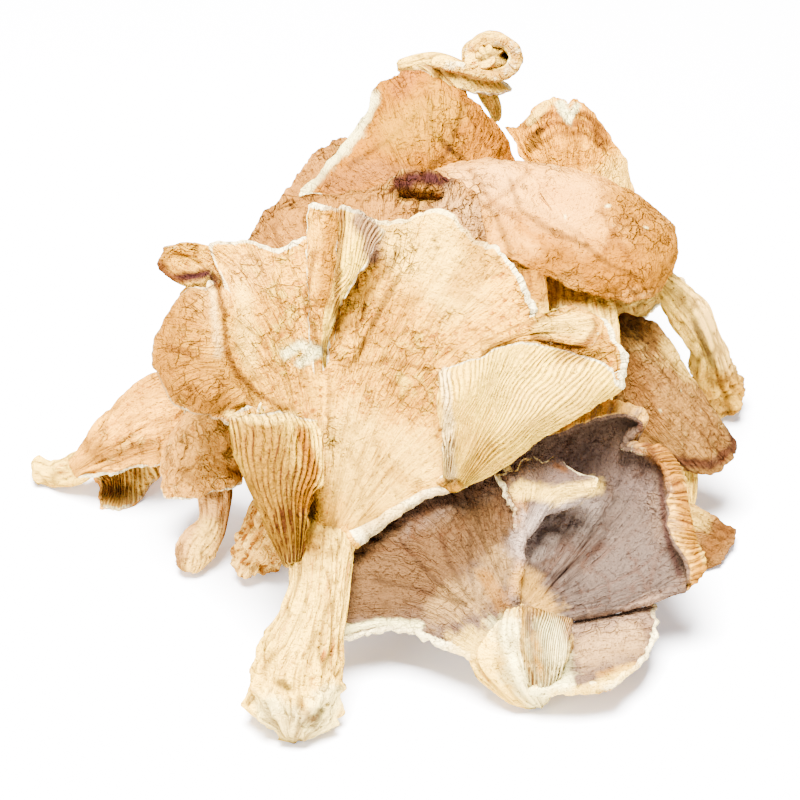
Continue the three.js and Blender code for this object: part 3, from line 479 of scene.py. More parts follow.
def flesh(name, skin, deep, pale, gill, groove, net, stalk="edbc3f", streak="9a5a14",
          vein="3a1c0a", blotches=0.5, pores=0.5, pore_scale=1500.0, grain=1.0):
    """Dried mushroom flesh: skin on one face, gills on the other, white where it is torn.

    The colours are of the skin, its deep and pale patches, the gills, the painted shade in
    the grooves between them, the stalk and its streaks, and the dark cracks, pits and dots,
    whose colour also paints a little shade on the gill face. Net is how strong the net of
    cracks is, blotches how strong the deep patches are, pores how many small pits there are,
    and grain how clearly the fibres show along the fan."""
    torn_rim = "f3dc9c"
    material = bpy.data.materials.new(name)
    material.use_nodes = True
    tree = material.node_tree
    shader = tree.nodes["Principled BSDF"]
    start = Signal(tree)

    def value(key, output=2):
        return start.node("Attribute", {}, output=output, attribute_name=key)

    def noise(place, scale, detail, roughness=0.6, bend=0.0):
        """Noise with scale cells to a metre, or to a millimetre where the place is the fan."""
        return start.node("TexNoise", {"Vector": place, "Scale": scale, "Detail": detail,
                                       "Roughness": roughness, "Distortion": bend})

    # what the mesh knows at each point, and noise over it
    place = start.node("TexCoord", {}, output=3)
    fan = start.node("VectorMath", {0: value("fan", 1), 1: (1.0, 0.2, 1.0)}, operation="MULTIPLY")
    side, edge, crease, stem_side = (value(key) for key in ("side", "rim", "crease", "stem"))
    phase, reach = value("phase"), value("reach")
    broad, mottle = noise(place, 70, 2), noise(place, 320, 4, 0.72)
    fine, fibre = noise(place, pore_scale, 3), noise(fan, 0.8, 4, 0.7)

    # wrinkles along the fan, a net of cracks, pits and small dark dots
    wrinkle = noise(fan, 0.36, 2, bend=0.8).line(0.5, 0.022) * broad.step(0.42, 0.56)
    warp = start.node("TexNoise", {"Vector": place, "Scale": 330.0, "Detail": 3.0}, output=1)
    bent = start.node("VectorMath", {0: warp, 1: (0.005,) * 3, 2: place}, operation="MULTIPLY_ADD")
    cell = start.node("TexVoronoi", {"Vector": bent, "Scale": 300.0}, feature="DISTANCE_TO_EDGE")
    crack = (1 - cell.step(0.0, 0.1)) * (mottle * 0.6 + broad * 0.6).step(0.56, 0.68)
    crack = crack * net + wrinkle * (grain * (0.3 + 0.5 * net))
    crack = crack * (1 - stem_side) * (side * 0.8 + 0.2)
    pit = (1 - fine.step(0.24 + 0.15 * pores, 0.32 + 0.15 * pores)) * min(pores, 1)
    dot = fine.step(0.64, 0.7) * min(pores, 1)

    # skin on the smooth face, gills on the other, stalk on a stem, then the torn rim and paint
    shade = (broad * 0.8 + mottle * 0.8 + (fibre - 0.5) * (0.7 * grain)).step(0.65, 1.0)
    face = (shade * blotches).blend(ink(skin), ink(deep))
    speck = noise(place, 620, 2).step(0.6, 0.68)
    face = (speck * 0.8).blend(face, ink(deep))
    face = ((mottle + broad * 0.7).step(0.9, 1.1) * 0.55).blend(face, ink(pale))
    tone = (broad * 0.9 + fibre * 0.9).step(0.7, 1.1)
    colour = side.step(0.25, 0.6).blend(tone.blend(ink(gill), ink(pale)), face)
    wood = (fibre + broad * 0.3).step(0.62, 0.9).blend(ink(stalk), ink(streak))
    wood = (speck * 0.25).blend(wood, ink(streak))
    colour = stem_side.step(0.3, 0.7).blend(colour, wood)
    torn = (edge * 1.1 + mottle * 1.6 + broad * 0.9 - 1.6).step(0.1, 0.35)
    colour = torn.blend(colour, ink(torn_rim))
    paint = value("paint", 3)
    colour = paint.blend(colour, value("paint", 0))

    # painted shade in the grooves between the gills, then everything dark: cracks, pits, dots and
    # creases, where the creases on the gill face are painted shade too
    one = 1 - abs(start.maths("SINE", phase * math.pi))
    two = (1 - abs(start.maths("COSINE", phase * math.pi))) * reach.step(0.3, 0.45)
    blade = start.maths("MAXIMUM", one, two)
    gill_gap_shade = (1 - blade.step(0.3, 0.62)) * (1 - side.step(0.25, 0.6))
    gill_gap_shade = gill_gap_shade * (mottle + fibre).step(0.8, 1.05)
    colour = (gill_gap_shade * (0.3 + paint * 0.7)).blend(colour, ink(groove))
    dark = crack + pit * 0.7 + dot * 0.4 + crease * (stem_side * 0.3 + 0.3 + 0.5 * net)
    colour = (dark * 0.85).blend(colour, ink(vein))
    tree.links.new(colour.socket, shader.inputs["Base Color"])

    relief = fibre * (0.8 * grain) + mottle * 0.9 + fine * 0.3 - crack * 0.7 - pit * 0.3
    relief = relief + blade * (1 - side) * 0.5
    bump = start.node("Bump", {"Strength": 1.0, "Distance": 0.0026, "Height": relief})
    tree.links.new(bump.socket, shader.inputs["Normal"])
    shader.inputs["Roughness"].default_value = 0.9
    shader.inputs["Specular IOR Level"].default_value = 0.0
    return material


left_face = sheet(
    gills=14, thick=(4, 1.5), seed=11, torn=(0.1, 0.8, 0.2), grain=0.72,
    spokes=[
      [[-20, -31, -27], [-22, -20, -27], [-25, -9, -27], [-28, -1, -28]],
      [[-19.5, -30, -27], [-23, -18, -25.5], [-27, -8, -25], [-30.5, -2, -27.5],
        [-31.5, -4.5, -28]],
      [[-19.5, -29.5, -27], [-23.5, -15, -25], [-29, -3, -25], [-33, 1, -29], [-37, -3.5, -28]],
      [[-19, -29, -27], [-24, -12, -25], [-31, 1, -25], [-37, 4, -31], [-41, 2, -31],
        [-44, -1, -27]],
      [[-18.5, -28, -27], [-24, -8, -25], [-32, 5, -25], [-38, 8, -31], [-44, 8, -30],
        [-48.8, 7, -25]],
      [[-18, -27, -27], [-24, -4, -25], [-32.5, 10, -25], [-38, 13, -31], [-43, 14.5, -30],
        [-47.5, 15, -25]],
      [[-17.5, -27, -27], [-23.5, 0, -25], [-32, 14, -26], [-37, 17.5, -30], [-40, 20.5, -29.5],
        [-43, 21.5, -26]],
      [[-17.2, -27, -27], [-22.5, 1, -24.5], [-31, 14.5, -25], [-35, 18, -28.5],
        [-37.5, 23, -28.5]],
      [[-17, -27, -27], [-21.8, 2, -24], [-29.5, 15, -23.5], [-32.5, 18, -23.3], [-34.5, 21, -23]],
      [[-16.5, -27, -27], [-21, 4, -24], [-28, 20, -22], [-33, 27, -20.5], [-37, 30.3, -20]],
      [[-16.2, -27, -27], [-19.5, 4, -24], [-25.5, 20, -22], [-30.5, 31.5, -21]],
      [[-16, -27, -27], [-18, 4, -24], [-22, 18, -22.5], [-25, 30, -22]],
      [[-15, -27, -27], [-15.5, 4, -24.2], [-17, 18, -23.5], [-19, 32, -23]],
    ],
)
upper_curl = sheet(
    gills=5, thick=(2, 1.5), seed=12, torn=(0.1, 0.25, 0.1),
    spokes=[
      [[-28, 10, -22.5], [-34, 17, -21.5], [-40, 21, -20], [-43, 21.5, -20]],
      [[-28, 11, -22.5], [-34, 19, -22], [-38, 24.8, -26]],
      [[-28, 12, -22.5], [-36, 21, -20.5], [-42.5, 24.2, -25.5]],
      [[-28, 13, -22.3], [-38, 23, -18.5], [-44, 25, -18.5], [-47.5, 26.5, -23.5]],
      [[-27.5, 15, -22], [-38, 25, -18], [-45, 29, -18.5], [-47.5, 30, -21]],
      [[-27, 17, -21.8], [-37, 28, -19], [-43, 31.5, -19.5]],
      [[-26, 18, -21.6], [-33, 27, -20.3], [-37, 30.3, -20]],
    ],
)
split_strip = sheet(
    gills=2, thick=(1.4, 1.8), seed=13, torn=(0.7, 0.8, 0.7),
    spokes=[
      [[-17, 4, -24], [-17.4, 13, -24.4], [-18, 25, -24.5], [-17.8, 39, -23]],
      [[-16.2, 4, -24], [-16, 13, -25.4], [-15.5, 24, -27.5], [-14.5, 38.5, -27]],
      [[-15.4, 4, -24], [-15.3, 13, -25.2], [-13.5, 24, -27], [-12.5, 37.5, -25]],
    ],
)
right_face = sheet(
    gills=14, thick=(4.4, 1.7), seed=14, torn=(0.1, 1, 1), grain=0.74,
    spokes=[
      [[-16, -25, -28], [-16, -4, -24.8], [-14.5, 10, -24], [-12, 24, -23], [-10, 36, -22]],
      [[-14.5, -25, -28], [-11, 0, -23.5], [-6, 18, -22], [-2, 35.5, -21]],
      [[-14, -25, -28], [-7, 2, -22.5], [1, 20, -21.5], [8, 37.5, -21]],
      [[-13.5, -25, -28], [-4, 0, -22.5], [6, 18, -21.5], [15, 31.5, -21.5]],
      [[-13, -25.5, -28], [-2, -2, -22.5], [10, 16, -22], [21, 29, -22]],
      [[-12.5, -26, -28], [0, -4, -22.5], [13, 12, -22.5], [25.5, 21, -23]],
      [[-12, -26, -28], [2, -6, -23], [15, 9, -24], [27, 16, -25]],
      [[-11, -27, -28], [4, -8, -24], [18, 6, -25], [30, 15, -24], [38.5, 17, -23]],
      [[-10.5, -27.5, -28], [5, -11, -25], [20, 2, -25], [34, 9, -23], [42.5, 13, -23]],
      [[-10, -28, -28.5], [6, -13.5, -26], [21, -3, -26], [34, 3, -25], [44.5, 6.5, -26]],
      [[-9.5, -28, -29], [3, -20, -28], [15, -15.5, -27.5], [27, -7, -27.5], [43, 2.5, -28]],
    ],
)
split_flap = sheet(
    gills=4, thick=(1.2, 1.6), seed=19, torn=(0.9, 0.9, 0.9),
    spokes=[
      [[-14.6, 6, -24.2], [-14.4, 12, -26.6], [-12.5, 19, -29], [-8, 26, -30], [-3.5, 33, -28]],
      [[-15, 6, -24.1], [-14.8, 12, -26.6], [-13, 20, -30], [-10, 28, -31.2], [-7, 36.5, -29]],
      [[-15.4, 6, -24], [-15, 12, -25.6], [-13.5, 20, -27], [-11.5, 29, -27.6],
        [-11.5, 38.3, -25.6]],
      [[-15, 5, -23.8], [-14, 12, -24], [-12, 20, -23.6], [-9.5, 29, -23.2], [-8, 36, -22]],
    ],
)
right_flap = sheet(
    gills=11, thick=(2.6, 1.6), seed=15, torn=(0.7, 0.8, 0.5), grain=0.72,
    spokes=[
      [[8, -16.5, -28], [22, -6, -27.5], [34, 1, -27], [44, 5.5, -27.5]],
      [[10, -17.5, -29], [21, -11.5, -31], [30, -5.5, -32], [38, -1.2, -31.5], [44, 3, -30]],
      [[12, -16.5, -31.5], [20, -9, -36], [29, -1, -37], [36, 4, -36], [40, 7, -34]],
      [[12.5, -15.5, -32.5], [19, -5, -39], [25, 3, -40], [30, 8, -38.5], [32, 9.5, -37]],
      [[12, -15, -32.5], [16.5, -4, -39], [20, 4, -40], [23, 11.5, -37]],
      [[11, -15, -31.5], [13, -4, -37.5], [15, 3, -38.5], [15.5, 7.8, -36]],
      [[9.5, -15, -30], [9.5, -6, -34], [8.2, -1, -35], [8.8, 5.5, -33]],
    ],
)
tongue = sheet(
    gills=3, thick=(2, 1.6), seed=16, torn=(0.3, 0.4, 0.3),
    spokes=[
      [[17, 11.5, -25], [24, 14.8, -30], [30, 17, -33]],
      [[17, 11, -25.3], [25, 14.6, -31], [34, 18.3, -34]],
      [[17, 10.5, -25.6], [26, 14, -32.5], [39.3, 15.5, -34]],
      [[17, 10, -25.3], [26, 13.2, -32], [37, 11, -33.5]],
      [[17, 9.5, -25], [24, 12.4, -30.5], [30, 11.3, -33]],
    ],
)
left_flap = sheet(
    gills=8, thick=(3, 1.5), seed=17, torn=(0, 0.6, 0), grain=0.6, gill_depth=1.1,
    spokes=[
      [[-20, -31, -33], [-18.5, -21, -36.5], [-15.6, -13, -37], [-16.8, -4.5, -34.5]],
      [[-21.5, -31.5, -33], [-23, -20, -39], [-22.5, -11, -40], [-23, -3, -36]],
      [[-22, -32.5, -30.5], [-27.7, -20, -34], [-31.3, -12, -35], [-33.5, -4, -32]],
      [[-21, -32, -28], [-25, -20, -29], [-28, -11, -29], [-30.5, -2.5, -28.5]],
      [[-20, -31, -27.5], [-22.5, -20, -27], [-24.5, -10, -27], [-27, -2, -27.5]],
    ],
)
foot = stem(
    ripple=0.09, seed=18, knobs=1.5,
    line=[[-21.5, -68, -39.6], [-21, -61, -37.4], [-21, -55, -36.6], [-18.5, -47, -35.4],
      [-16.5, -38, -33], [-16, -30, -29.5], [-15.5, -22, -25.6]],
    widths=[[4, 3], [9.3, 7.2], [8.6, 6.2], [6.5, 5], [5.8, 4.6], [6.4, 3.8], [4, 1]],
)

front_fan = mushroom(
    "front_fan", [left_face, upper_curl, split_strip, right_face, split_flap, right_flap, tongue,
                  left_flap, foot],
    [
        # creamy upper right of the face, yellowish lower middle
        (CREAM, 0.55, 9, [[4, 28], [14, 36], [10, 22]]),
        (CREAM, 0.5, 8, [[-2, 34], [2, 38]]),
        (CREAM, 0.55, 10, [[-10, -8], [-6, -20], [2, -12]]),
        ("d79a40", 0.4, 7, [[-40, 20], [-30, 26]]),
        # painted shade on the outer face of the left lobe, where its rim curls under
        (TAN, 0.8, 4, [[-47, 22], [-49, 12], [-48, 4], [-40, -2], [-34, -3]]),
        # the left lobe's own brown
        ("7e4e0a", 0.85, 10, [[-44, 17], [-44, 8], [-38, 2]]),
        # orange patches
        ("8a5600", 0.9, 2.8, [[-15, 20], [-14.5, 30], [-13.6, 37]]),
        (OCHRE, 0.5, 3, [[-33, 5], [-32, 12], [-31, 18]]),
        (OCHRE, 0.5, 2.5, [[-2, -14], [6, -20], [12, -16], [18, -10]]),
        (OCHRE, 0.4, 3, [[-12, 6], [-4, 12], [2, 20]]),
        (OCHRE, 0.35, 2.5, [[-44, 30], [-36, 31]]),
        ("9a6208", 0.6, 4, [[12, 22], [16, 28], [14, 32]]),
        ("9a6208", 0.4, 4, [[-4, 14], [2, 22]]),
        ("9a6208", 0.4, 2, [[-2, 2], [4, -2], [10, 0]]),
        (OCHRE, 0.45, 3, [[-6, -24], [4, -23]]),
        # cracks, a painted shade line in the crevice of the split, and the scar
        (BROWN, 0.6, 0.95, [[-16, 10], [-8, 7], [-2, 8], [6, 6]],
         [[-16, 10], [-19, 20], [-17, 30]]),
        (BROWN, 0.5, 0.95, [[-16, 10], [-12, 16], [-6, 22], [0, 30]],
         [[-16, 10], [-14, 2], [-15, -8]]),
        # painted shade: a dark line in the crevice between the split strip and the split flap
        (BROWN, 0.85, 1.2, [[-11.4, 37], [-12, 30], [-12.6, 22], [-12.6, 14]]),
        (BROWN, 0.6, 0.95, [[-46, 10.5], [-41.5, 9]], [[-2, 3], [-1.4, 3.4]]),
        (BLACK, 1, 1.05, [[7, 31.9]], [[7.3, 30.3]]),
        (WHITE, 0.9, 1.6, [[-23, 9], [-20, 11], [-16.5, 9.4], [-20, 7.4]]),
        # dark rim of the upper curl, brown corner
        (PURPLE, 1, 1.7, [[-48.6, 27], [-46, 24.4], [-42, 24.6], [-38, 25.4], [-36.5, 23.4]]),
        (BROWN, 0.7, 2.4, [[-48, 31], [-48, 26], [-45, 23]]),
        # painted shade: a dark line along the fold between the left lobe and the face; then a thin
        # pale line on the lobe's side of it, and a paler band of painted light on the face beside
        # the fold
        (BROWN, 0.85, 1, [[-36.6, 23], [-35.2, 17], [-34.8, 10], [-32.4, 5], [-28, 1],
          [-22.4, -2.4]]),
        ("f0c878", 0.4, 1, [[-37.6, 22], [-36.6, 14], [-36.4, 9]]),
        (CREAM, 0.5, 3, [[-31.6, 22], [-31, 14], [-30, 8]]),
        # left flap: ochre gills, orange right rim
        ("6e480a", 0.95, 13, [[-28, -10], [-25, -18], [-22, -28]]),
        ("7a4a00", 1, 2.8, [[-19.6, -7], [-17.4, -14], [-19, -21]]),
        (CREAM, 0.7, 1.2, [[-34, -3], [-26, -4], [-21, -3]]),
        # right flap: cream gills, tongue
        (CREAM, 0.4, 8, [[20, 5], [28, -4], [34, 2]]),
        ("f0c878", 0.9, 1.7, [[9, 5], [9.6, -2], [9.6, -9], [10, -15]]),
        ("6a4c3c", 0.9, 3.4, [[-8, 36], [-6, 34], [-5.4, 29]]),
        (BLACK, 0.6, 1, [[0, 25], [-5, 16], [-9, 8]]),
        # the tongue lobe: painted light on its inside, a painted shadow below it with a dark line
        # of painted shadow along its lower edge, and a thinner dark line along its upper edge
        (CREAM, 0.7, 3.6, [[29, 15], [34, 15], [37, 14.6]]),
        (TAN, 0.6, 2.4, [[32, 8.8], [37, 8.8], [40.4, 12]]),
        (BROWN, 0.85, 1.1, [[26.6, 12.6], [30, 11.7], [34, 10.3], [37.3, 11.3], [39.3, 14.7],
          [38.7, 17.3]]),
        (BROWN, 0.6, 1, [[26, 14.4], [29, 17], [33, 18.4], [38, 18.2]]),
        # stem: cream, dirty foot
        (CREAM, 0.35, 5, [[-21, -34], [-22, -50], [-26, -62]]),
        (BLACK, 0.85, 1.7, [[-24, -56.5], [-22.5, -57.5]]),
        (BLACK, 0.8, 1.5, [[-12, -57.5]]),
        (WHITE, 0.6, 5, [[-26, -62], [-18, -68], [-14, -60]]),
        (BLACK, 0.8, 1.3, [[-16, -62], [-17, -64]]),
        (BROWN, 0.5, 1, [[-20, -60], [-17, -66]]),
        (OCHRE, 0.35, 3, [[-24, -64], [-18, -70]]),
    ],
    skin="dc9c20", deep="92540c", pale="f2c434", gill="eab434", groove="3a1c0a", net=0.5,
    blotches=0.8,
)


# ---------------------------------------------------------------- grey_twin
# Two caps on one short stem: a brown one whose skin is ridged along the fan, and a grey-mauve
# one whose thin rim rolled under as it dried. A strip torn from between them curls up white.

brown_cap = sheet(
    gills=10, thick=(4, 1.6), seed=21, torn=(1, 0.5, 0), grain=0.5,
    spokes=[
      [[15, -51, -34], [8, -48.5, -31], [0, -45.5, -29], [-12, -47.5, -29]],
      [[16, -48, -34], [8, -42, -30], [-2, -40, -28], [-13, -41, -27]],
      [[18, -45, -34], [8, -35, -29], [-2, -31, -26], [-12, -30, -24]],
      [[20, -43, -33.5], [11, -30, -27.5], [2, -22, -23.5], [-6, -18, -21]],
      [[21, -41, -33], [14, -28, -26.5], [8, -18, -22], [4, -11, -19]],
      [[21.5, -41, -32.5], [17, -28, -26], [14, -17, -22], [12, -10, -20]],
      [[22, -41, -32.5], [20.5, -28, -28], [20, -17, -26], [20, -12, -23.5]],
      [[22.5, -41, -33], [24, -30, -31], [24.5, -22, -30.5], [22, -16, -28.5]],
    ],
)
grey_cap = sheet(
    gills=12, thick=(4, 1.5), seed=22, torn=(0, 0.3, 0),
    spokes=[
      [[23, -42, -31], [22, -32, -25], [21, -20, -19], [20, -8, -16]],
      [[24, -42, -31], [28, -28, -20], [30.5, -15, -13.5], [31, -7.5, -13.5], [31.5, -4.8, -16.5],
        [31.7, -6.8, -19]],
      [[24.5, -42, -31], [32, -28, -19], [37, -14, -12], [40, -4, -12], [40.5, -0.8, -15],
        [40, -3.4, -17.5]],
      [[25, -42, -31], [35, -29, -19.5], [43, -16.5, -12.5], [47, -6.5, -11.5], [48.8, -3, -14.5],
        [48, -4.6, -17]],
      [[25.3, -42.2, -31], [36, -30, -19.7], [43, -19, -13], [45, -11, -12.5], [45.6, -8, -14.5],
        [45, -8.8, -16.5]],
      [[25.5, -42.5, -31], [37, -31, -20], [46, -21.5, -14], [51.5, -12.6, -15], [53, -10.4, -18],
        [50.6, -11.4, -20.5]],
      [[26, -42.5, -31], [38, -34, -21.5], [48, -25, -16], [54, -17, -17], [56, -15.5, -20],
        [53.3, -15, -22.5]],
      [[26.5, -43, -31], [39, -37, -23], [49, -30, -18.5], [55, -23, -19], [57.2, -22.5, -22],
        [53.5, -22, -24.5]],
      [[26.5, -43.5, -31.5], [40, -39.5, -25], [50, -34, -21], [56, -28.5, -21], [58, -28, -23.5],
        [54.5, -27.5, -26]],
      [[26.5, -44, -31.5], [40, -41.3, -26.5], [51, -37, -23], [58, -33, -22], [60.2, -33.5, -25],
        [57.5, -34, -27]],
      [[26, -45, -32], [34, -44, -29], [45, -41.5, -26], [57, -38.2, -25]],
    ],
)
torn_flap = sheet(
    gills=3, thick=(2.4, 1.6), ragged=1.4, seed=23, torn=(0.5, 0.6, 0.5),
    spokes=[
      [[23.5, -26, -31], [22, -19, -29.5], [20, -15.5, -27.5]],
      [[24, -26, -31], [25, -18, -28.5], [25, -12.5, -25]],
      [[24.5, -26, -30.5], [28, -18, -27], [30.5, -12.5, -22.5]],
      [[25, -26.5, -30.5], [31, -18.5, -27.5], [38.5, -17, -25]],
      [[25, -27, -30], [28, -23, -28], [31.5, -22, -25.5]],
    ],
)
low_lobe = sheet(
    gills=6, thick=(4, 1.6), seed=24, torn=(0.2, 1, 0.5),
    spokes=[
      [[28, -48, -32], [38, -44, -26], [50.5, -41.5, -22]],
      [[28, -51, -34], [38, -47.5, -27.5], [51, -46, -25]],
      [[28, -54, -35], [38, -51, -30.5], [49.4, -51, -29]],
      [[27.5, -56.5, -36], [36, -54.6, -34], [46.6, -54, -32.5]],
      [[27, -58, -36.5], [35, -58, -37.5], [43, -56.6, -37]],
    ],
)
gills_on_stem = sheet(
    gills=5, thick=(2.4, 2), ragged=0.3, seed=26, torn=(0.3, 0.3, 0.3),
    spokes=[
      [[29.6, -58, -35.5], [32.4, -51, -37.5], [34, -44.2, -34]],
      [[28.6, -58.2, -36.2], [30, -51, -38.8], [31, -43.6, -35]],
      [[27.6, -58.2, -36.2], [27.4, -51, -39], [28, -42.8, -35.4]],
      [[26.6, -58, -35.5], [24.8, -51, -38.4], [24.6, -42, -34]],
    ],
)
foot = stem(
    seed=25,
    line=[[28, -61, -30.2], [26.4, -57.6, -31.6], [24.4, -51, -32.6], [23.4, -44.6, -31.8],
      [24, -39.6, -30]],
    widths=[[2.6, 2.2], [7.4, 4.4], [10.6, 5.4], [8.6, 4.4], [4, 1.2]],
)

grey_twin = mushroom(
    "grey_twin", [brown_cap, grey_cap, torn_flap, low_lobe, gills_on_stem, foot],
    [
        # the brown cap
        ("4a321a", 0.95, 11, [[-8, -31], [0, -33], [10, -29], [18, -25]]),
        ("4a321a", 0.9, 10, [[-10, -39], [-2, -39], [6, -37]]),
        ("94703c", 0.6, 5, [[8, -42], [16, -38], [20, -33]]),
        (CREAM, 0.7, 6, [[14, -50], [20, -52], [24, -58]]),
        ("3a1e0a", 0.5, 2, [[-9, -27], [0, -24], [10, -20], [20, -16]]),
        (BLACK, 0.5, 0.8, [[0, -28], [6, -35], [13, -41]]),
        (BLACK, 0.45, 0.8, [[-5, -36], [4, -38], [13, -41]], [[8, -27], [10, -33], [14, -40]]),
        (BLACK, 0.4, 0.8, [[20, -32], [16, -40]]),
        (BLACK, 0.35, 0.8, [[14, -26], [14, -33], [15, -40]]),
        (WHITE, 0.8, 1.2, [[-11, -46], [-4, -44.5], [4, -45]]),
        ("7a4c0c", 0.6, 2.6, [[17, -35], [21, -42]]),
        # painted light: paler grey over the shadow that the torn strip casts on the grey cap
        ("847064", 0.7, 5, [[29, -23], [34, -21], [38, -20]]),
        ("9c6c38", 0.6, 2, [[24, -20], [25, -30], [23, -38]]),
        # the grey cap
        ("4e4036", 0.9, 12, [[34, -26], [44, -24], [44, -36]]),
        ("4e4036", 0.9, 10, [[30, -38], [40, -42], [50, -34]]),
        ("52423a", 0.6, 6, [[32, -14], [40, -12], [48, -16]]),
        # painted light: paler grey over the shadow that the torn strip casts on the grey cap
        ("8c7868", 0.85, 6, [[26, -29], [28, -26], [31, -23.4], [36, -22]]),
        ("86664a", 0.5, 5, [[34, -48], [44, -46], [50, -42]]),
        (GOLD, 0.4, 4, [[25, -36], [29, -42]]),
        (BLACK, 0.5, 0.95, [[26, -33], [31, -35.5], [40, -29]]),
        (BLACK, 0.4, 0.95, [[33, -37], [41, -28]]),
        # rolled rim of the grey cap, dark inside
        ("8a5400", 0.85, 3.6, [[51, -9], [55, -14], [57.6, -22], [59, -28], [61, -33], [60, -38]]),
        (CREAM, 0.5, 1, [[57, -13], [59, -22], [61, -32]]),
        (PURPLE, 0.7, 1, [[48, -5], [52, -14], [53, -26], [56, -35]]),
        # torn strip and small curl
        (CREAM, 0.8, 2.5, [[24, -18], [31, -19], [39, -17.5]]),
        (BROWN, 0.7, 1, [[31, -13], [33, -14]]),
        # low lobe, foot
        (CREAM, 0.7, 2, [[30, -59], [38, -58], [46, -54]]),
        (OCHRE, 0.45, 1.2, [[40, -55], [47, -53]]),
        ("a8804c", 0.6, 5, [[38, -50], [46, -48]]),
        # near white on the foot: its torn flesh is cream, painted paler still as painted light
        # where it lies in shade
        (WHITE, 0.8, 4.5, [[22, -46], [24, -54], [28, -60]]),
        (WHITE, 0.7, 4, [[30, -46], [32, -56]]),
        (GOLD, 0.6, 0.9, [[24.5, -42], [24.5, -50], [27, -57]]),
    ],
    skin="584434", deep="3e2c1e", pale="7a6048", gill="d69a30", groove="3f200c", net=0.25,
    blotches=0.4, grain=0.6,
)


# ---------------------------------------------------------------- smooth_dome
# A smooth pinkish-beige cap that stayed nearly whole, bent down all round over its gills and
# stem, with a loose fold of gills under its front edge. A second short stem grew beside the
# first, under the gills.

cap = sheet(
    gills=18, thick=(2.6, 1.6), hub=[33.4, 34.6, -6], seed=31, torn=(0, 0.1, 0),
    spokes=[
      [[26, 44, 0.2], [21, 47, 6], [19, 45, 13]],
      [[31, 44, 0], [29, 46.5, 8], [28, 44.5, 15]],
      [[40, 42, 0], [43, 43, 8], [45, 40, 15], [46, 35, 19]],
      [[45, 38, -2], [52, 36.5, 4], [54, 33, 10], [54, 29, 13]],
      [[46, 34, -4.5], [53, 32.5, -1], [54.5, 29, 5], [52.5, 24.8, 8]],
      [[44, 30, -8], [49, 25.5, -8], [49.5, 21, -5]],
      [[41, 29, -9], [44.5, 24.5, -10], [45, 20.3, -8]],
      [[37, 29, -9.5], [38.5, 25, -11], [38.8, 21.8, -10]],
      [[32, 30, -9.5], [31, 27, -11.5], [30.6, 24.4, -11.5]],
      [[27, 32, -9], [24, 30, -12], [22.5, 28.5, -13]],
      [[22, 35, -8], [17, 33.5, -11.5], [14.5, 32, -13]],
      [[21, 38.5, -6.5], [14, 38.5, -9], [10.5, 38, -9]],
      [[22, 42, -4], [13, 44.5, -4], [7.5, 45.5, -2]],
      [[27, 43.6, -1.2], [19, 47.2, 2.6], [12, 47, 7]],
    ],
)
foot = stem(
    seed=32,
    line=[[34.2, 33.4, -4.2], [35.4, 28, -3], [36.5, 22, -3.6], [38, 10, -4], [37, 0, 0],
      [35, -9, 8],
      [34, -16.8, 24.4]],
    widths=[[3, 1.2], [5, 2.8], [6.2, 3.6], [5.2, 4.2], [5, 4.4], [5, 4.4], [5.5, 4.6]],
)
gill_fold = stem(
    seed=33,
    line=[[25.5, 31, -8.5], [26.4, 24, -11.5], [27.4, 14, -13], [29, 4, -8], [33, -2, -2]],
    widths=[[2.2, 1.6], [2.8, 2.2], [2.6, 2.2], [2.4, 2], [1.6, 1.4]],
)
second_stem = stem(
    ripple=0.12, seed=34,
    line=[[31, 30, 3], [31.6, 24, 4], [32, 17, 5.5]],
    widths=[[2.6, 1.6], [2.8, 1.8], [2, 1.4]],
)

smooth_dome = mushroom(
    "smooth_dome", [cap, foot, gill_fold, second_stem],
    [
        # painted light: pale cream on the two stems where they lie in shade under the cap
        ("f4d070", 0.85, 5, [[33, 22], [34, 16], [33, 10]]),
        ("8a5200", 0.85, 4, [[22, 37], [27, 34], [32, 31]]),
        ("8a5200", 0.75, 3.5, [[30, 42], [36, 39.5]]),
        ("a87c50", 0.5, 6, [[12, 42], [20, 44]]),
        (BLACK, 0.5, 0.95, [[52, 36], [50, 30], [46, 26], [41, 25]],
         [[24, 40], [30, 37], [36, 33]]),
        (PURPLE, 0.8, 1.8, [[5, 45], [8.4, 44.4]]),
        ("d79440", 0.5, 10, [[16, 44], [26, 42], [34, 40]]),
        ("7a4800", 0.95, 10, [[26, 23.5], [38, 24], [48, 27]]),
        (BLACK, 0.55, 0.95, [[14, 42], [19, 37], [22, 30], [21, 25]],
         [[22, 44], [24, 38], [30, 34], [37, 31]]),
        (BLACK, 0.5, 0.95, [[37, 31], [42, 27], [47, 25]]),
        ("7e4e04", 0.85, 8, [[45, 39], [50, 35], [53, 29]]),
        (BROWN, 0.55, 0.95, [[14, 46], [18, 40], [24, 36]]),
        (BROWN, 0.5, 0.95, [[16, 38], [22, 42], [26, 46]], [[40, 38], [43, 33], [46, 28]],
         [[44, 36], [41, 30]]),
        (BLACK, 0.7, 0.95, [[47, 21.5]]),
        (WHITE, 0.8, 0.4, [[33, 36.6]]),
        (WHITE, 0.8, 0.5, [[41.5, 38.8]]),
        (WHITE, 0.7, 0.4, [[49, 34.5]]),
        (BROWN, 0.4, 2, [[12, 48], [20, 49], [30, 48]]),
        (OCHRE, 0.4, 3, [[28, 22], [36, 20]]),
    ],
    skin="b87a24", deep="80500e", pale="d4a050", gill="a8681c", groove="4a2610", net=0.45,
    blotches=0.6, pores=0.25, grain=0.25,
)


# ---------------------------------------------------------------- golden_cap
# A thin cap that dried golden ochre, its skin drawn into a fine dark net. Its torn left edge
# shows white flesh, and its leaning stem goes down through the heap to the ground.

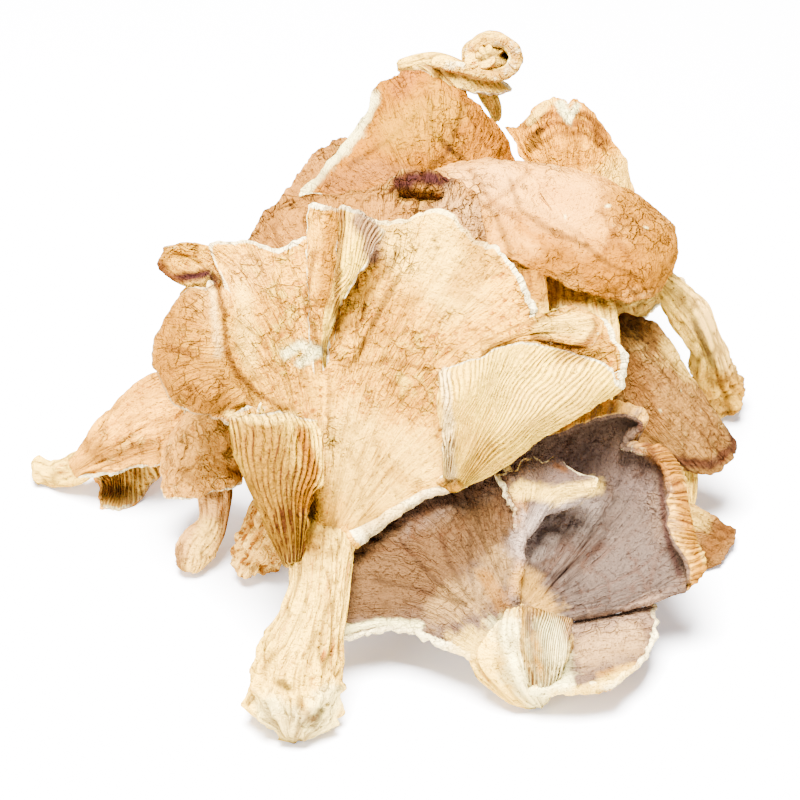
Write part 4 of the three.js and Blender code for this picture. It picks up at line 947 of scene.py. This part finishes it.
cap = sheet(
    gills=13, thick=(4, 1.6), seed=41, torn=(1, 0.15, 0),
    spokes=[
      [[2, 34, 18], [-8, 38, 16], [-14, 40, 18], [-20, 41, 23]],
      [[3, 35, 17.5], [-5, 42, 16], [-11, 47, 18], [-13, 49, 23]],
      [[4, 36, 17], [-1, 46, 16], [-5, 53, 19], [-7.5, 55.5, 24]],
      [[5, 37, 17], [1, 50, 16], [-2, 58, 20], [-4.5, 62.5, 26]],
      [[6, 37.5, 17], [4, 52, 16], [2, 61, 21], [0, 65, 27]],
      [[7, 37.5, 17], [8, 52, 16], [9, 60, 21], [9.5, 64.5, 27]],
      [[8, 37, 17], [12, 49, 17], [14, 56, 21], [14.5, 60, 27]],
      [[9, 36, 17.5], [14, 45, 18], [18, 51, 22], [20, 53.5, 29]],
      [[10, 35, 18], [15, 41, 20], [20, 45, 24.5], [23, 46.5, 32]],
    ],
)
foot = stem(
    seed=43,
    line=[[6, 38.5, 17.5], [7, 30, 19.5], [9, 19, 20], [12, 6, 21], [16, -5, 24], [19, -14.4, 28]],
    widths=[[4, 1.6], [5.5, 3.8], [4.5, 4], [4.6, 4], [5, 4.4], [5.6, 4.6]],
)

golden_cap = mushroom(
    "golden_cap", [cap, foot],
    [
        ("784400", 0.7, 4, [[12, 60], [17, 55], [21, 49]]),
        (BLACK, 0.75, 0.95, [[6, 60], [6.4, 54], [10, 50], [14, 47]]),
        (BLACK, 0.65, 0.95, [[10, 50], [6, 46], [-2, 44]]),
        (BLACK, 0.6, 0.95, [[4, 58], [-2, 52], [-10, 47]], [[13, 59], [11, 54], [10, 50]]),
        (WHITE, 0.8, 2, [[-20.5, 40.5], [-15.6, 46], [-9, 53.4], [-5.4, 60]]),
        ("6c4424", 0.5, 4, [[-14, 43], [-4, 46], [2, 44]]),
        ("b07a00", 0.5, 8, [[0, 54], [8, 58]]),
        ("8c4c20", 0.4, 3, [[0, 62], [2, 66]]),
    ],
    skin="8e5400", deep="704000", pale="b07400", gill="99600c", groove="301606", net=0.4,
    grain=0.7,
)


# ---------------------------------------------------------------- curled_top
# A pale strip of cap that rolled itself into a spiral as it dried, with a soft core, a torn
# fold under it and the start of its thin stem. It lies on the rims of the caps below.

def spiral(behind, grow):
    """One edge of the spiral strip of cap, at a depth behind the board."""
    return [
        [7, 67.6, behind], [14, 65.9, behind], [19.5 + grow, 64.8, behind],
        [23.4 + grow, 67.8, behind], [21.5, 71.4 + grow, behind], [17, 72.4 + grow, behind],
        [13.6, 70, behind], [13.8, 67.4, behind], [16.6, 66.4, behind], [19, 68, behind],
        [17.6, 69.8, behind],
    ]


roll = sheet(
    gills=4, thick=(2.4, 1.9), ragged=0.9, seed=51, torn=(0.4, 0.3, 0.4), wrinkles=1.6,
    spokes=[spiral(22, 0), spiral(26, 0.4), spiral(30, 0.2), spiral(34, -1)],
)
foot = stem(
    seed=52,
    line=[[-0.5, 66.6, 33], [4, 67.6, 32], [8, 67.6, 30], [13, 65.4, 29]],
    widths=[[1.4, 1.6], [1.7, 1.8], [2, 2], [2.4, 1.8]],
)
strip = stem(
    ripple=0.15, seed=53,
    line=[[18.6, 66, 31.4], [17.4, 62, 33.4], [18.8, 58.4, 35.4], [19.4, 55.6, 36.6]],
    widths=[[3, 1.6], [2.4, 1.4], [1.9, 1.2], [1.1, 0.8]],
)
core = stem(
    ripple=0.3, seed=54,
    line=[[17.6, 68.2, 22], [18, 68.8, 28], [17.6, 68.6, 34]],
    widths=[[3, 2.8], [4, 3.6], [3, 2.6]],
)
fold = sheet(
    gills=3, thick=(2, 1.4), ragged=1.3, wrinkles=1.6, seed=55, torn=(0.6, 0.8, 0.6),
    spokes=[
      [[3, 66.4, 29], [6, 64.6, 27], [9, 62.4, 27]],
      [[7, 67, 28], [11.4, 64.8, 25], [14, 61.6, 26]],
      [[11, 67, 28], [15.4, 65, 25.6], [18, 61, 26]],
      [[14, 67.6, 28], [19.4, 65.4, 25], [21.6, 62, 27]],
    ],
)

curled_top = mushroom(
    "curled_top", [roll, foot, strip, core, fold],
    [
        ("8a5a08", 0.8, 1.1, [[14, 66], [20, 65], [23.6, 68], [21.5, 71.4], [17, 72.4],
          [13.6, 70]]),
        ("a8701a", 0.5, 1.2, [[0, 66], [6, 66.6], [11, 65.6]]),
        (BROWN, 0.6, 0.95, [[16, 68], [18, 69]]),
        (CREAM, 0.5, 3, [[2, 67], [8, 68]]),
    ],
    skin="dcae40", deep="8a4c0a", pale="ecc650", gill="c8942a", groove="6a3c18", net=0.4,
    blotches=0.8,
)


# ---------------------------------------------------------------- ridged_shell
# A tan cap ridged like a scallop shell, with a notch torn in its bent rim. It stands at the
# back of the heap, on a stem that goes down to the ground.

cap = sheet(
    gills=12, thick=(4, 1.6), seed=61, torn=(0.3, 0.2, 0.1),
    spokes=[
      [[31.4, 38, 28], [27.4, 45, 29.6], [24.4, 50, 32.6], [22.2, 54, 37]],
      [[32.2, 39, 25], [28.8, 48, 25.4], [26, 52, 29], [24.8, 54.5, 34]],
      [[33, 40, 23], [30, 50, 23], [28, 55, 27], [27, 57.8, 32]],
      [[34, 40, 23], [32.5, 51, 22], [31.8, 56, 26], [31, 59.8, 32]],
      [[34.2, 40, 23], [33.4, 51, 22], [33, 56, 26], [32.6, 59.6, 32]],
      [[34.5, 40, 23], [34, 51, 22.2], [33.8, 54, 24.5], [33.7, 56.4, 28.5]],
      [[34.7, 40, 23], [35, 51, 22.3], [34.9, 56, 26], [34.7, 59.6, 32]],
      [[35.2, 40, 23], [36.4, 51, 22.5], [36.8, 55.5, 26], [36.8, 59, 32]],
      [[36, 39.5, 23], [39, 48, 23], [39.6, 52, 27], [39.8, 55.9, 32]],
      [[37, 38.5, 23.5], [41, 44, 24], [43, 46.5, 28], [44.3, 48.5, 33]],
      [[38, 37.5, 24], [42, 40, 26], [45, 41, 30], [46.3, 42, 35]],
    ],
)
foot = stem(
    seed=62,
    line=[[34.5, 42, 23.5], [34.5, 34, 27], [35, 24, 35], [36, 10, 42], [36, -2, 49]],
    widths=[[4, 2], [5.5, 4], [4.5, 4], [5, 4.5], [5.5, 4.8]],
)

ridged_shell = mushroom(
    "ridged_shell", [cap, foot],
    [
        (BROWN, 0.85, 0.95, [[25, 54.6], [29.4, 57.2], [37, 57.2], [41, 53.6]]),
        (BROWN, 0.8, 0.95, [[25.6, 52.4], [30, 55.4], [37, 55.4], [41.6, 51.4]]),
        (BROWN, 0.7, 0.95, [[27, 50.6], [31, 53.4], [37, 53.4], [41, 50]]),
        ("7a4a10", 0.7, 1.2, [[24, 55], [29, 59]]),
        ("80480f", 0.4, 4, [[30, 56], [40, 54]]),
        (CREAM, 0.6, 6, [[44, 44], [50, 48], [52, 42]]),
        (WHITE, 1, 1.3, [[32, 59], [33.8, 56.4]]),
        (WHITE, 0.9, 1, [[35.4, 58.8], [33.8, 56.4]]),
        (BLACK, 0.75, 1.4, [[26, 50], [28, 54]]),
        (CREAM, 0.6, 1.4, [[26, 56], [30, 60]]),
    ],
    skin="d08600", deep="945800", pale="eca810", gill="b87c24", groove="4a2610", net=0.35,
)


# ---------------------------------------------------------------- left_wing
# A tan cap of leathery flesh, bent over like a tent. It lies on its edge at the far left, with
# the pale torn end of its stem pointing away from the heap.

cap = sheet(
    gills=13, thick=(3, 1.5), seed=71, torn=(0.2, 0.5, 0.6),
    spokes=[
      [[-65, -14.5, 20], [-62, -13, 24], [-60, -18, 22.5], [-60, -21, 20]],
      [[-65, -14, 20], [-60, -9, 23], [-56, -14, 25], [-55.5, -21.5, 20]],
      [[-65, -13.5, 19.5], [-58, -5, 19], [-51, -6, 23], [-48, -15, 22]],
      [[-65, -13, 19], [-58, -3.5, 15], [-50, 2, 17], [-42, -3, 22]],
      [[-65, -13, 18.5], [-59, -5, 13], [-51, 3.5, 12.5], [-43, 6, 15], [-39, 2, 18]],
      [[-64.5, -13.5, 18], [-57, -7, 11], [-49, -1, 11], [-42, 0, 14]],
      [[-64.5, -14, 18], [-57, -10, 11], [-50, -7, 10.5], [-43.5, -5, 13.5]],
      [[-64, -14.5, 18.5], [-58, -14.5, 13], [-53, -13.5, 11.5], [-46.6, -12.5, 13]],
    ],
)
foot = stem(
    ripple=0.12, seed=72, knobs=0.8,
    line=[[-73.6, -13.4, 26.4], [-69.4, -14.6, 25], [-65, -14, 21.6], [-60.5, -10.5, 16.5]],
    widths=[[3.4, 2.6], [3, 2.8], [3.2, 2.8], [2, 1.4]],
)

left_wing = mushroom(
    "left_wing", [cap, foot],
    [
        ("dc9428", 0.5, 8, [[-62, 4], [-56, 14], [-50, 20]]),
        (TAN, 0.5, 6, [[-56, 0], [-48, 4], [-44, 12]]),
        (BROWN, 0.5, 3, [[-66, -6], [-58, -12], [-50, -10]]),
        (PURPLE, 0.7, 3, [[-60, -18], [-52, -20], [-46, -16]]),
        (CREAM, 0.8, 3, [[-72, -14], [-68, -10]]),
        (BROWN, 0.5, 1.2, [[-64, 6], [-58, 18], [-50, 24]]),
    ],
    skin="f0a428", deep="b06c14", pale="f6c04c", gill="a06418", groove="4a2610", net=0.35,
    blotches=0.6,
)


# ---------------------------------------------------------------- little_left
# A small ochre cap that closed round its gills as it dried, on a cream stem that bends down
# to the ground in front of it.

cap = sheet(
    gills=12, thick=(3, 1.5), hub=[-38.6, -10.8, -3.4], seed=81, torn=(0, 0.5, 0),
    spokes=[
      [[-39, -3, 0], [-39, 0, 5], [-38.5, -2, 10]],
      [[-35, -5, -1], [-33, -4, 4], [-32.5, -7, 8]],
      [[-33.5, -10, -0.5], [-31.5, -12, 4]],
      [[-34, -14, -1.5], [-31.8, -16.5, 1]],
      [[-37, -15.5, -4], [-37, -18, -3]],
      [[-41, -16, -4.5], [-42, -19.5, -3]],
      [[-43.5, -15.5, -3.5], [-46.3, -18.8, -0.5]],
      [[-44.5, -12, -1.5], [-47.8, -14, 2.5]],
      [[-43, -7, -0.5], [-45, -7.4, 3.4], [-45.3, -9.6, 6]],
      [[-40, -4, -0.4], [-41, -1.7, 4.2], [-41, -4, 7.4]],
    ],
)
foot = stem(
    seed=82, knobs=0.6,
    line=[[-42, -34.4, 1.8], [-40.9, -30, 1.5], [-37.5, -25, 1], [-37, -19, 1], [-38, -12, 0.4]],
    widths=[[3, 2.6], [4, 3.2], [2.9, 2.8], [3.6, 2.6], [3.4, 1.6]],
)

little_left = mushroom(
    "little_left", [cap, foot],
    [
        (TAN, 0.5, 6, [[-38, 2], [-34, -4]]),
        (BROWN, 0.5, 2.5, [[-36, 6], [-30, 0]]),
        (BROWN, 0.5, 1.2, [[-44, -14], [-36, -20]]),
        (CREAM, 0.5, 4, [[-38, -26], [-42, -36]]),
    ],
    skin="c88a30", deep="84500e", pale="dca850", gill="99600c", groove="4a2610", net=0.6, grain=0.6,
    stalk="b88440",
)


# ---------------------------------------------------------------- spongy_stub
# A thick cream stub whose flesh dried open and spongy, with orange pores. Its torn cap lies
# under the front fan.

cap = sheet(
    gills=8, thick=(3.6, 1.6), seed=91, torn=(0.6, 0.8, 0.6),
    spokes=[
      [[-19, -9, -1], [-25, -2, -5], [-30, 6, -9]],
      [[-18, -8, -1], [-20, 4, -7], [-22, 14, -12]],
      [[-16.5, -7.5, -1], [-13, 4, -7], [-11, 14, -12]],
      [[-15.5, -8, -1], [-6, 3, -6], [1, 11, -11]],
      [[-15, -9, -1], [-3, -3, -4], [8, 3, -8]],
      [[-15, -10, -1], [-4, -10, -1], [7, -8, -3]],
    ],
)
foot = stem(
    ripple=0.1, seed=92, knobs=1.4,
    line=[[-30.2, -32.8, 3], [-27.2, -28.5, -1.5], [-22, -19, 0], [-16.5, -8, -0.5]],
    widths=[[4.6, 5], [6, 5.8], [4.6, 4.6], [4.6, 2.6]],
)

spongy_stub = mushroom(
    "spongy_stub", [cap, foot],
    [
        (OCHRE, 0.5, 3, [[-30, -26], [-26, -30]]),
        (WHITE, 0.6, 1.2, [[-34, -20], [-28, -18]]),
        (OCHRE, 0.5, 2, [[-33, -30], [-28, -33]]),
    ],
    skin="b47c2c", deep="70400c", pale="dcac48", gill="98681c", groove="5a2e10", net=0.6,
    blotches=0.8, pores=1.1, pore_scale=650.0, stalk="e8b450", streak="b07010", vein="7a4408",
)


# ---------------------------------------------------------------- brown_tongue
# A tongue-shaped cap of leathery ochre-brown flesh, with a dark rim at its tip. It sticks out
# of the heap on a stem that goes down behind it.

cap = sheet(
    gills=10, thick=(3.4, 1.6), seed=101, torn=(0, 0, 0),
    spokes=[
      [[45, 16, 9], [50.5, 14.5, 8.5], [55, 8, 10], [57, 0, 12.5]],
      [[44, 15.5, 7.5], [50.5, 10.5, 6.5], [58, 2, 7], [67, -8.6, 10.5]],
      [[43, 14.5, 6.5], [50, 5, 3.5], [58, -4, 4], [66.6, -11.4, 8]],
      [[42, 13, 6.5], [49, 0, 2.5], [56, -8, 3], [61.6, -14.2, 6]],
      [[41, 12, 7], [45.5, -1, 4.5], [49.5, -8, 4.8], [54.5, -12.6, 6]],
      [[40, 12, 8], [41.5, 0, 8], [43, -7, 9], [46, -13, 10]],
    ],
)
foot = stem(
    seed=102,
    line=[[43.5, 13, 8], [42.5, 8, 13], [42, 2, 20], [42, -4, 32], [42, -7, 38.2]],
    widths=[[4, 2], [4, 3.4], [3.6, 3.4], [4, 3.6], [4.4, 3.8]],
)

brown_tongue = mushroom(
    "brown_tongue", [cap, foot],
    [
        (PURPLE, 0.85, 1.8, [[55, -12], [62, -13], [67, -9], [66, -4]]),
        (CREAM, 0.5, 3, [[54, 10], [58, 6]]),
        (BROWN, 0.5, 5, [[46, 6], [50, -4]]),
        (WHITE, 0.5, 0.35, [[56, 2]]),
        (WHITE, 0.5, 0.3, [[60, -2]]),
        (WHITE, 0.4, 0.35, [[52, -2]]),
    ],
    skin="7e5624", deep="523616", pale="a8803c", gill="8c581a", groove="301606", net=0.4,
    blotches=0.6,
)


# ---------------------------------------------------------------- low_right
# A small ochre-brown cap that lies on its edge, gills to the front. Its thin stem runs back
# under the tongue-shaped cap.

cap = sheet(
    gills=7, thick=(3, 1.5), seed=111, torn=(0, 0.3, 0),
    spokes=[
      [[50, -22, 8], [57, -21.5, 6], [62, -23.5, 7], [67.3, -26, 10]],
      [[49, -24, 7], [57, -25, 4], [62, -27, 5], [66, -29, 7.5]],
      [[49, -26, 7], [56, -28.5, 4], [60, -30.5, 3.5], [63.5, -32, 4.5]],
      [[49, -28, 7.8], [54, -31.5, 5], [57, -33, 3.8], [59.5, -34, 3.9]],
    ],
)
foot = stem(
    seed=112,
    line=[[53, -27, 7.5], [57, -21, 9], [57, -13, 11], [54, -7, 13]],
    widths=[[3.4, 1.6], [1.9, 1.8], [2.3, 1.9], [2.1, 1.8]],
)

low_right = mushroom(
    "low_right", [cap, foot],
    [
        (CREAM, 0.4, 3, [[56, -22], [60, -24]]),
        (BROWN, 0.6, 3, [[62, -30], [66, -24]]),
    ],
    skin="704a20", deep="4a3014", pale="987038", gill="8c581a", groove="301606", net=0.4,
    blotches=0.6,
)


# ---------------------------------------------------------------- pale_stem
# A cream stem of stringy flesh, split along its length, that stands on its torn foot at the
# far right. Its small torn cap is bent under it.

cap = sheet(
    gills=8, thick=(3, 1.5), ragged=1.2, seed=121, torn=(0.6, 0.8, 0.6),
    spokes=[
      [[52, 20, 16], [47, 16.5, 13], [41, 15, 14]],
      [[51, 22, 15], [45, 20, 10.5], [40, 19, 11]],
      [[51, 23, 15], [47, 23.5, 12.5], [42, 24, 14]],
      [[52, 24, 16.5], [50, 26, 18], [46, 27, 22]],
      [[54, 23, 17.5], [56, 24, 21], [56, 23, 27]],
    ],
)
foot = stem(
    ripple=0.12, seed=122, knobs=1.3,
    line=[[66.6, -0.6, 45.2], [63.4, 3.6, 39.4], [61.4, 10.5, 28], [57.5, 18, 19],
      [51.5, 25, 13.5]],
    widths=[[4.6, 4.2], [5, 4.2], [3.8, 3.4], [4.2, 3], [2.6, 2]],
)

pale_stem = mushroom(
    "pale_stem", [cap, foot],
    [
        ("f4c060", 0.6, 5, [[60, 18], [66, 8]]),
        ("f4c060", 0.5, 4, [[56, 24], [62, 14]]),
        ("7a4c18", 0.7, 2.4, [[58, 4], [62, -1], [66, -2]]),
        ("a86c1c", 0.6, 3, [[66, 4], [71, 1]]),
        (BLACK, 0.85, 1.2, [[56, 22], [60, 13], [64, 4], [66, -2]]),
        (OCHRE, 0.55, 4, [[62, 4], [68, 0], [72, 2]]),
        (CREAM, 0.5, 3, [[52, 26], [58, 18]]),
        (BROWN, 0.4, 2, [[66, -6], [70, -2]]),
    ],
    skin="f4c04c", deep="a5661c", pale="f8d060", gill="c88c30", groove="5a2e10", net=0.5,
)


# ---------------------------------------------------------------- netted_cap
# A brown cap whose skin shrank into a net of wrinkles, on a tall thick stem that the rest of
# the heap hides. Part of its rim dried into a dark curled ruffle.

cap = sheet(
    gills=12, thick=(3.6, 1.5), seed=131, torn=(0, 0.1, 0),
    spokes=[
      [[-12, 14, -6], [-20, 22, -10], [-26.5, 29, -9], [-30, 31.6, -3]],
      [[-11, 16, -6], [-17, 26, -11], [-23, 34.5, -9.5], [-25.5, 38.4, -1]],
      [[-9.5, 17, -6], [-12, 28, -12], [-15, 38, -9.5], [-16.5, 41, 0]],
      [[-8, 17.5, -6], [-7, 29, -12.5], [-7, 38.5, -10.5], [-7.5, 41.2, 0]],
      [[-6.5, 17.5, -6], [-1, 29, -12.5], [1, 38, -12], [2, 41.6, -7], [2.5, 44.8, -4]],
      [[-5.5, 17, -6], [3, 28, -12.5], [7, 37, -13], [7.6, 41, -9], [8, 44.4, -6.5]],
      [[-4.5, 16, -6], [7, 25, -13.4], [12, 34, -15.6], [14.8, 41, -14.6]],
      [[-4, 15, -6], [9, 20, -13.4], [15, 28, -16.6], [17, 31, -17.6]],
    ],
)
foot = stem(
    seed=132,
    line=[[-8, 19, -6.5], [-8, 12, -1], [-7.5, 4, 6], [-7, -6, 15], [-7, -18.4, 25]],
    widths=[[4.6, 2], [4.6, 3.4], [4, 3.6], [4.2, 3.8], [4.6, 4]],
)
dark_curl = stem(
    ripple=0.2, seed=133,
    line=[[-1, 41.4, -1.5], [1.5, 43.2, -3.4], [4.2, 43.4, -6.6], [6.2, 44, -9],
      [7.2, 42, -11.6]],
    widths=[[0.8, 0.8], [1.6, 1.6], [1.4, 1.6], [1.8, 1.6], [0.9, 0.9]],
)
ruffle = sheet(
    gills=3, thick=(1.3, 1), ragged=0.9, seed=134, torn=(0, 0, 0),
    spokes=[
      [[0.4, 41, -8.5], [-0.6, 43, -12], [-1, 45, -11]],
      [[1.8, 40.8, -10], [1.4, 43.4, -13.6], [1, 46.4, -11]],
      [[4.2, 40.6, -11], [4.2, 43, -14], [4.6, 45.8, -12.4]],
      [[5.8, 40.6, -11], [6.2, 42.8, -14.2], [6.8, 45.4, -12]],
      [[7.2, 40.4, -11], [8, 42, -13.4], [8.6, 44, -12]],
    ],
)

netted_cap = mushroom(
    "netted_cap", [cap, foot, dark_curl, ruffle],
    [
        (PURPLE, 1, 3, [[0, 43.4], [4, 44.4], [9, 44]]),
        (TAN, 0.4, 7, [[-20, 36], [-10, 38]]),
        ("b88850", 0.5, 6, [[10, 38], [16, 36]]),
    ],
    skin="956120", deep="643c10", pale="b08030", gill="8c5c20", groove="301808", net=0.7,
    blotches=0.7,
)


# ---------------------------------------------------------------- back_cap
# The widest cap at the back, beige-brown and netted, its rim curled dark purple. Its stem
# goes down through the back of the heap.

cap = sheet(
    gills=12, thick=(4, 1.6), seed=141, torn=(0.1, 0.1, 0.1),
    spokes=[
      [[0, 12, 35], [-14, 6, 34], [-26, -0.4, 36], [-36, -6.6, 40.4]],
      [[0, 14, 34], [-14, 12, 30], [-28, 10, 29], [-40, 8, 32]],
      [[0, 15, 33.5], [-12, 20, 28], [-22, 24, 26], [-32, 26, 28]],
      [[1, 16, 33], [-9, 26, 27], [-16, 34, 25], [-22, 41.5, 28]],
      [[2, 17, 33], [-5, 30, 28.5], [-11, 40, 27.5], [-15.5, 50, 30]],
      [[3, 17, 33], [-2, 32, 30], [-4, 42, 31], [-8, 52, 34]],
      [[5, 17, 33], [4, 32, 31], [5, 43, 32], [5, 54, 36]],
      [[7, 16, 33.5], [12, 28, 32], [15, 38, 33], [18, 46, 36]],
      [[8, 14, 34], [18, 20, 34], [25, 23, 36], [29, 25, 40]],
    ],
)
foot = stem(
    seed=142,
    line=[[4, 18, 32], [5, 10, 34], [9, 0.6, 35], [14, -7.2, 35.8]],
    widths=[[4, 1.6], [5.5, 4], [4.6, 4.2], [5.6, 4.6]],
)

back_cap = mushroom(
    "back_cap", [cap, foot],
    [
        (BROWN, 0.5, 4, [[-26, 36], [-22, 30]]),
        (TAN, 0.4, 8, [[20, 22], [40, 16]]),
        (PURPLE, 0.8, 2, [[0, 43], [5, 45.6], [9, 44]]),
    ],
    skin="956124", deep="603a12", pale="b08038", gill="8c5c20", groove="301808", net=0.7,
    blotches=0.7,
)


# ---------------------------------------------------------------- the floor, light and camera
# A sheet of white paper under the heap, lit from above by two wide soft lights. The camera
# looks down at the board's middle from the front.

paper = bpy.data.materials.new("paper")
paper.use_nodes = True
for socket, setting in (("Base Color", ink("fbfafc")), ("Roughness", 0.9),
                        ("Emission Color", ink("fdfcff")), ("Emission Strength", 0.35)):
    paper.node_tree.nodes["Principled BSDF"].inputs[socket].default_value = setting
bpy.ops.mesh.primitive_plane_add(size=6, location=(0, 0, 0))
floor = bpy.context.object
floor.name = "floor"
floor.data.materials.append(paper)

world = bpy.data.worlds.new("studio")
bpy.context.scene.world = world
world.use_nodes = True
world.node_tree.nodes["Background"].inputs["Color"].default_value = (0.9, 0.87, 1, 1)
world.node_tree.nodes["Background"].inputs["Strength"].default_value = 0.62

heap_middle = Vector((0, 0, 0.03))
for name, place, size, power in (("top_light", (-0.05, -0.15, 0.78), 0.4, 130),
                                 ("side_light", (-0.6, -0.6, 0.4), 0.5, 12)):
    light = bpy.data.lights.new(name, "AREA")
    light.size, light.energy = size, power
    lamp = bpy.data.objects.new(name, light)
    lamp.location = place
    lamp.rotation_euler = (heap_middle - lamp.location).to_track_quat("-Z", "Y").to_euler()
    bpy.context.scene.collection.objects.link(lamp)

view_width = 160
eye = (middle_x, middle_y - rise * eye_distance, middle_z + run_back * eye_distance)
camera = bpy.data.objects.new("camera", bpy.data.cameras.new("camera"))
camera.data.lens = camera.data.sensor_width * eye_distance / view_width
camera.location = [place / mm_in_a_metre for place in eye]
camera.rotation_euler = (math.asin(rise), 0, 0)
bpy.context.scene.collection.objects.link(camera)
bpy.context.scene.camera = camera
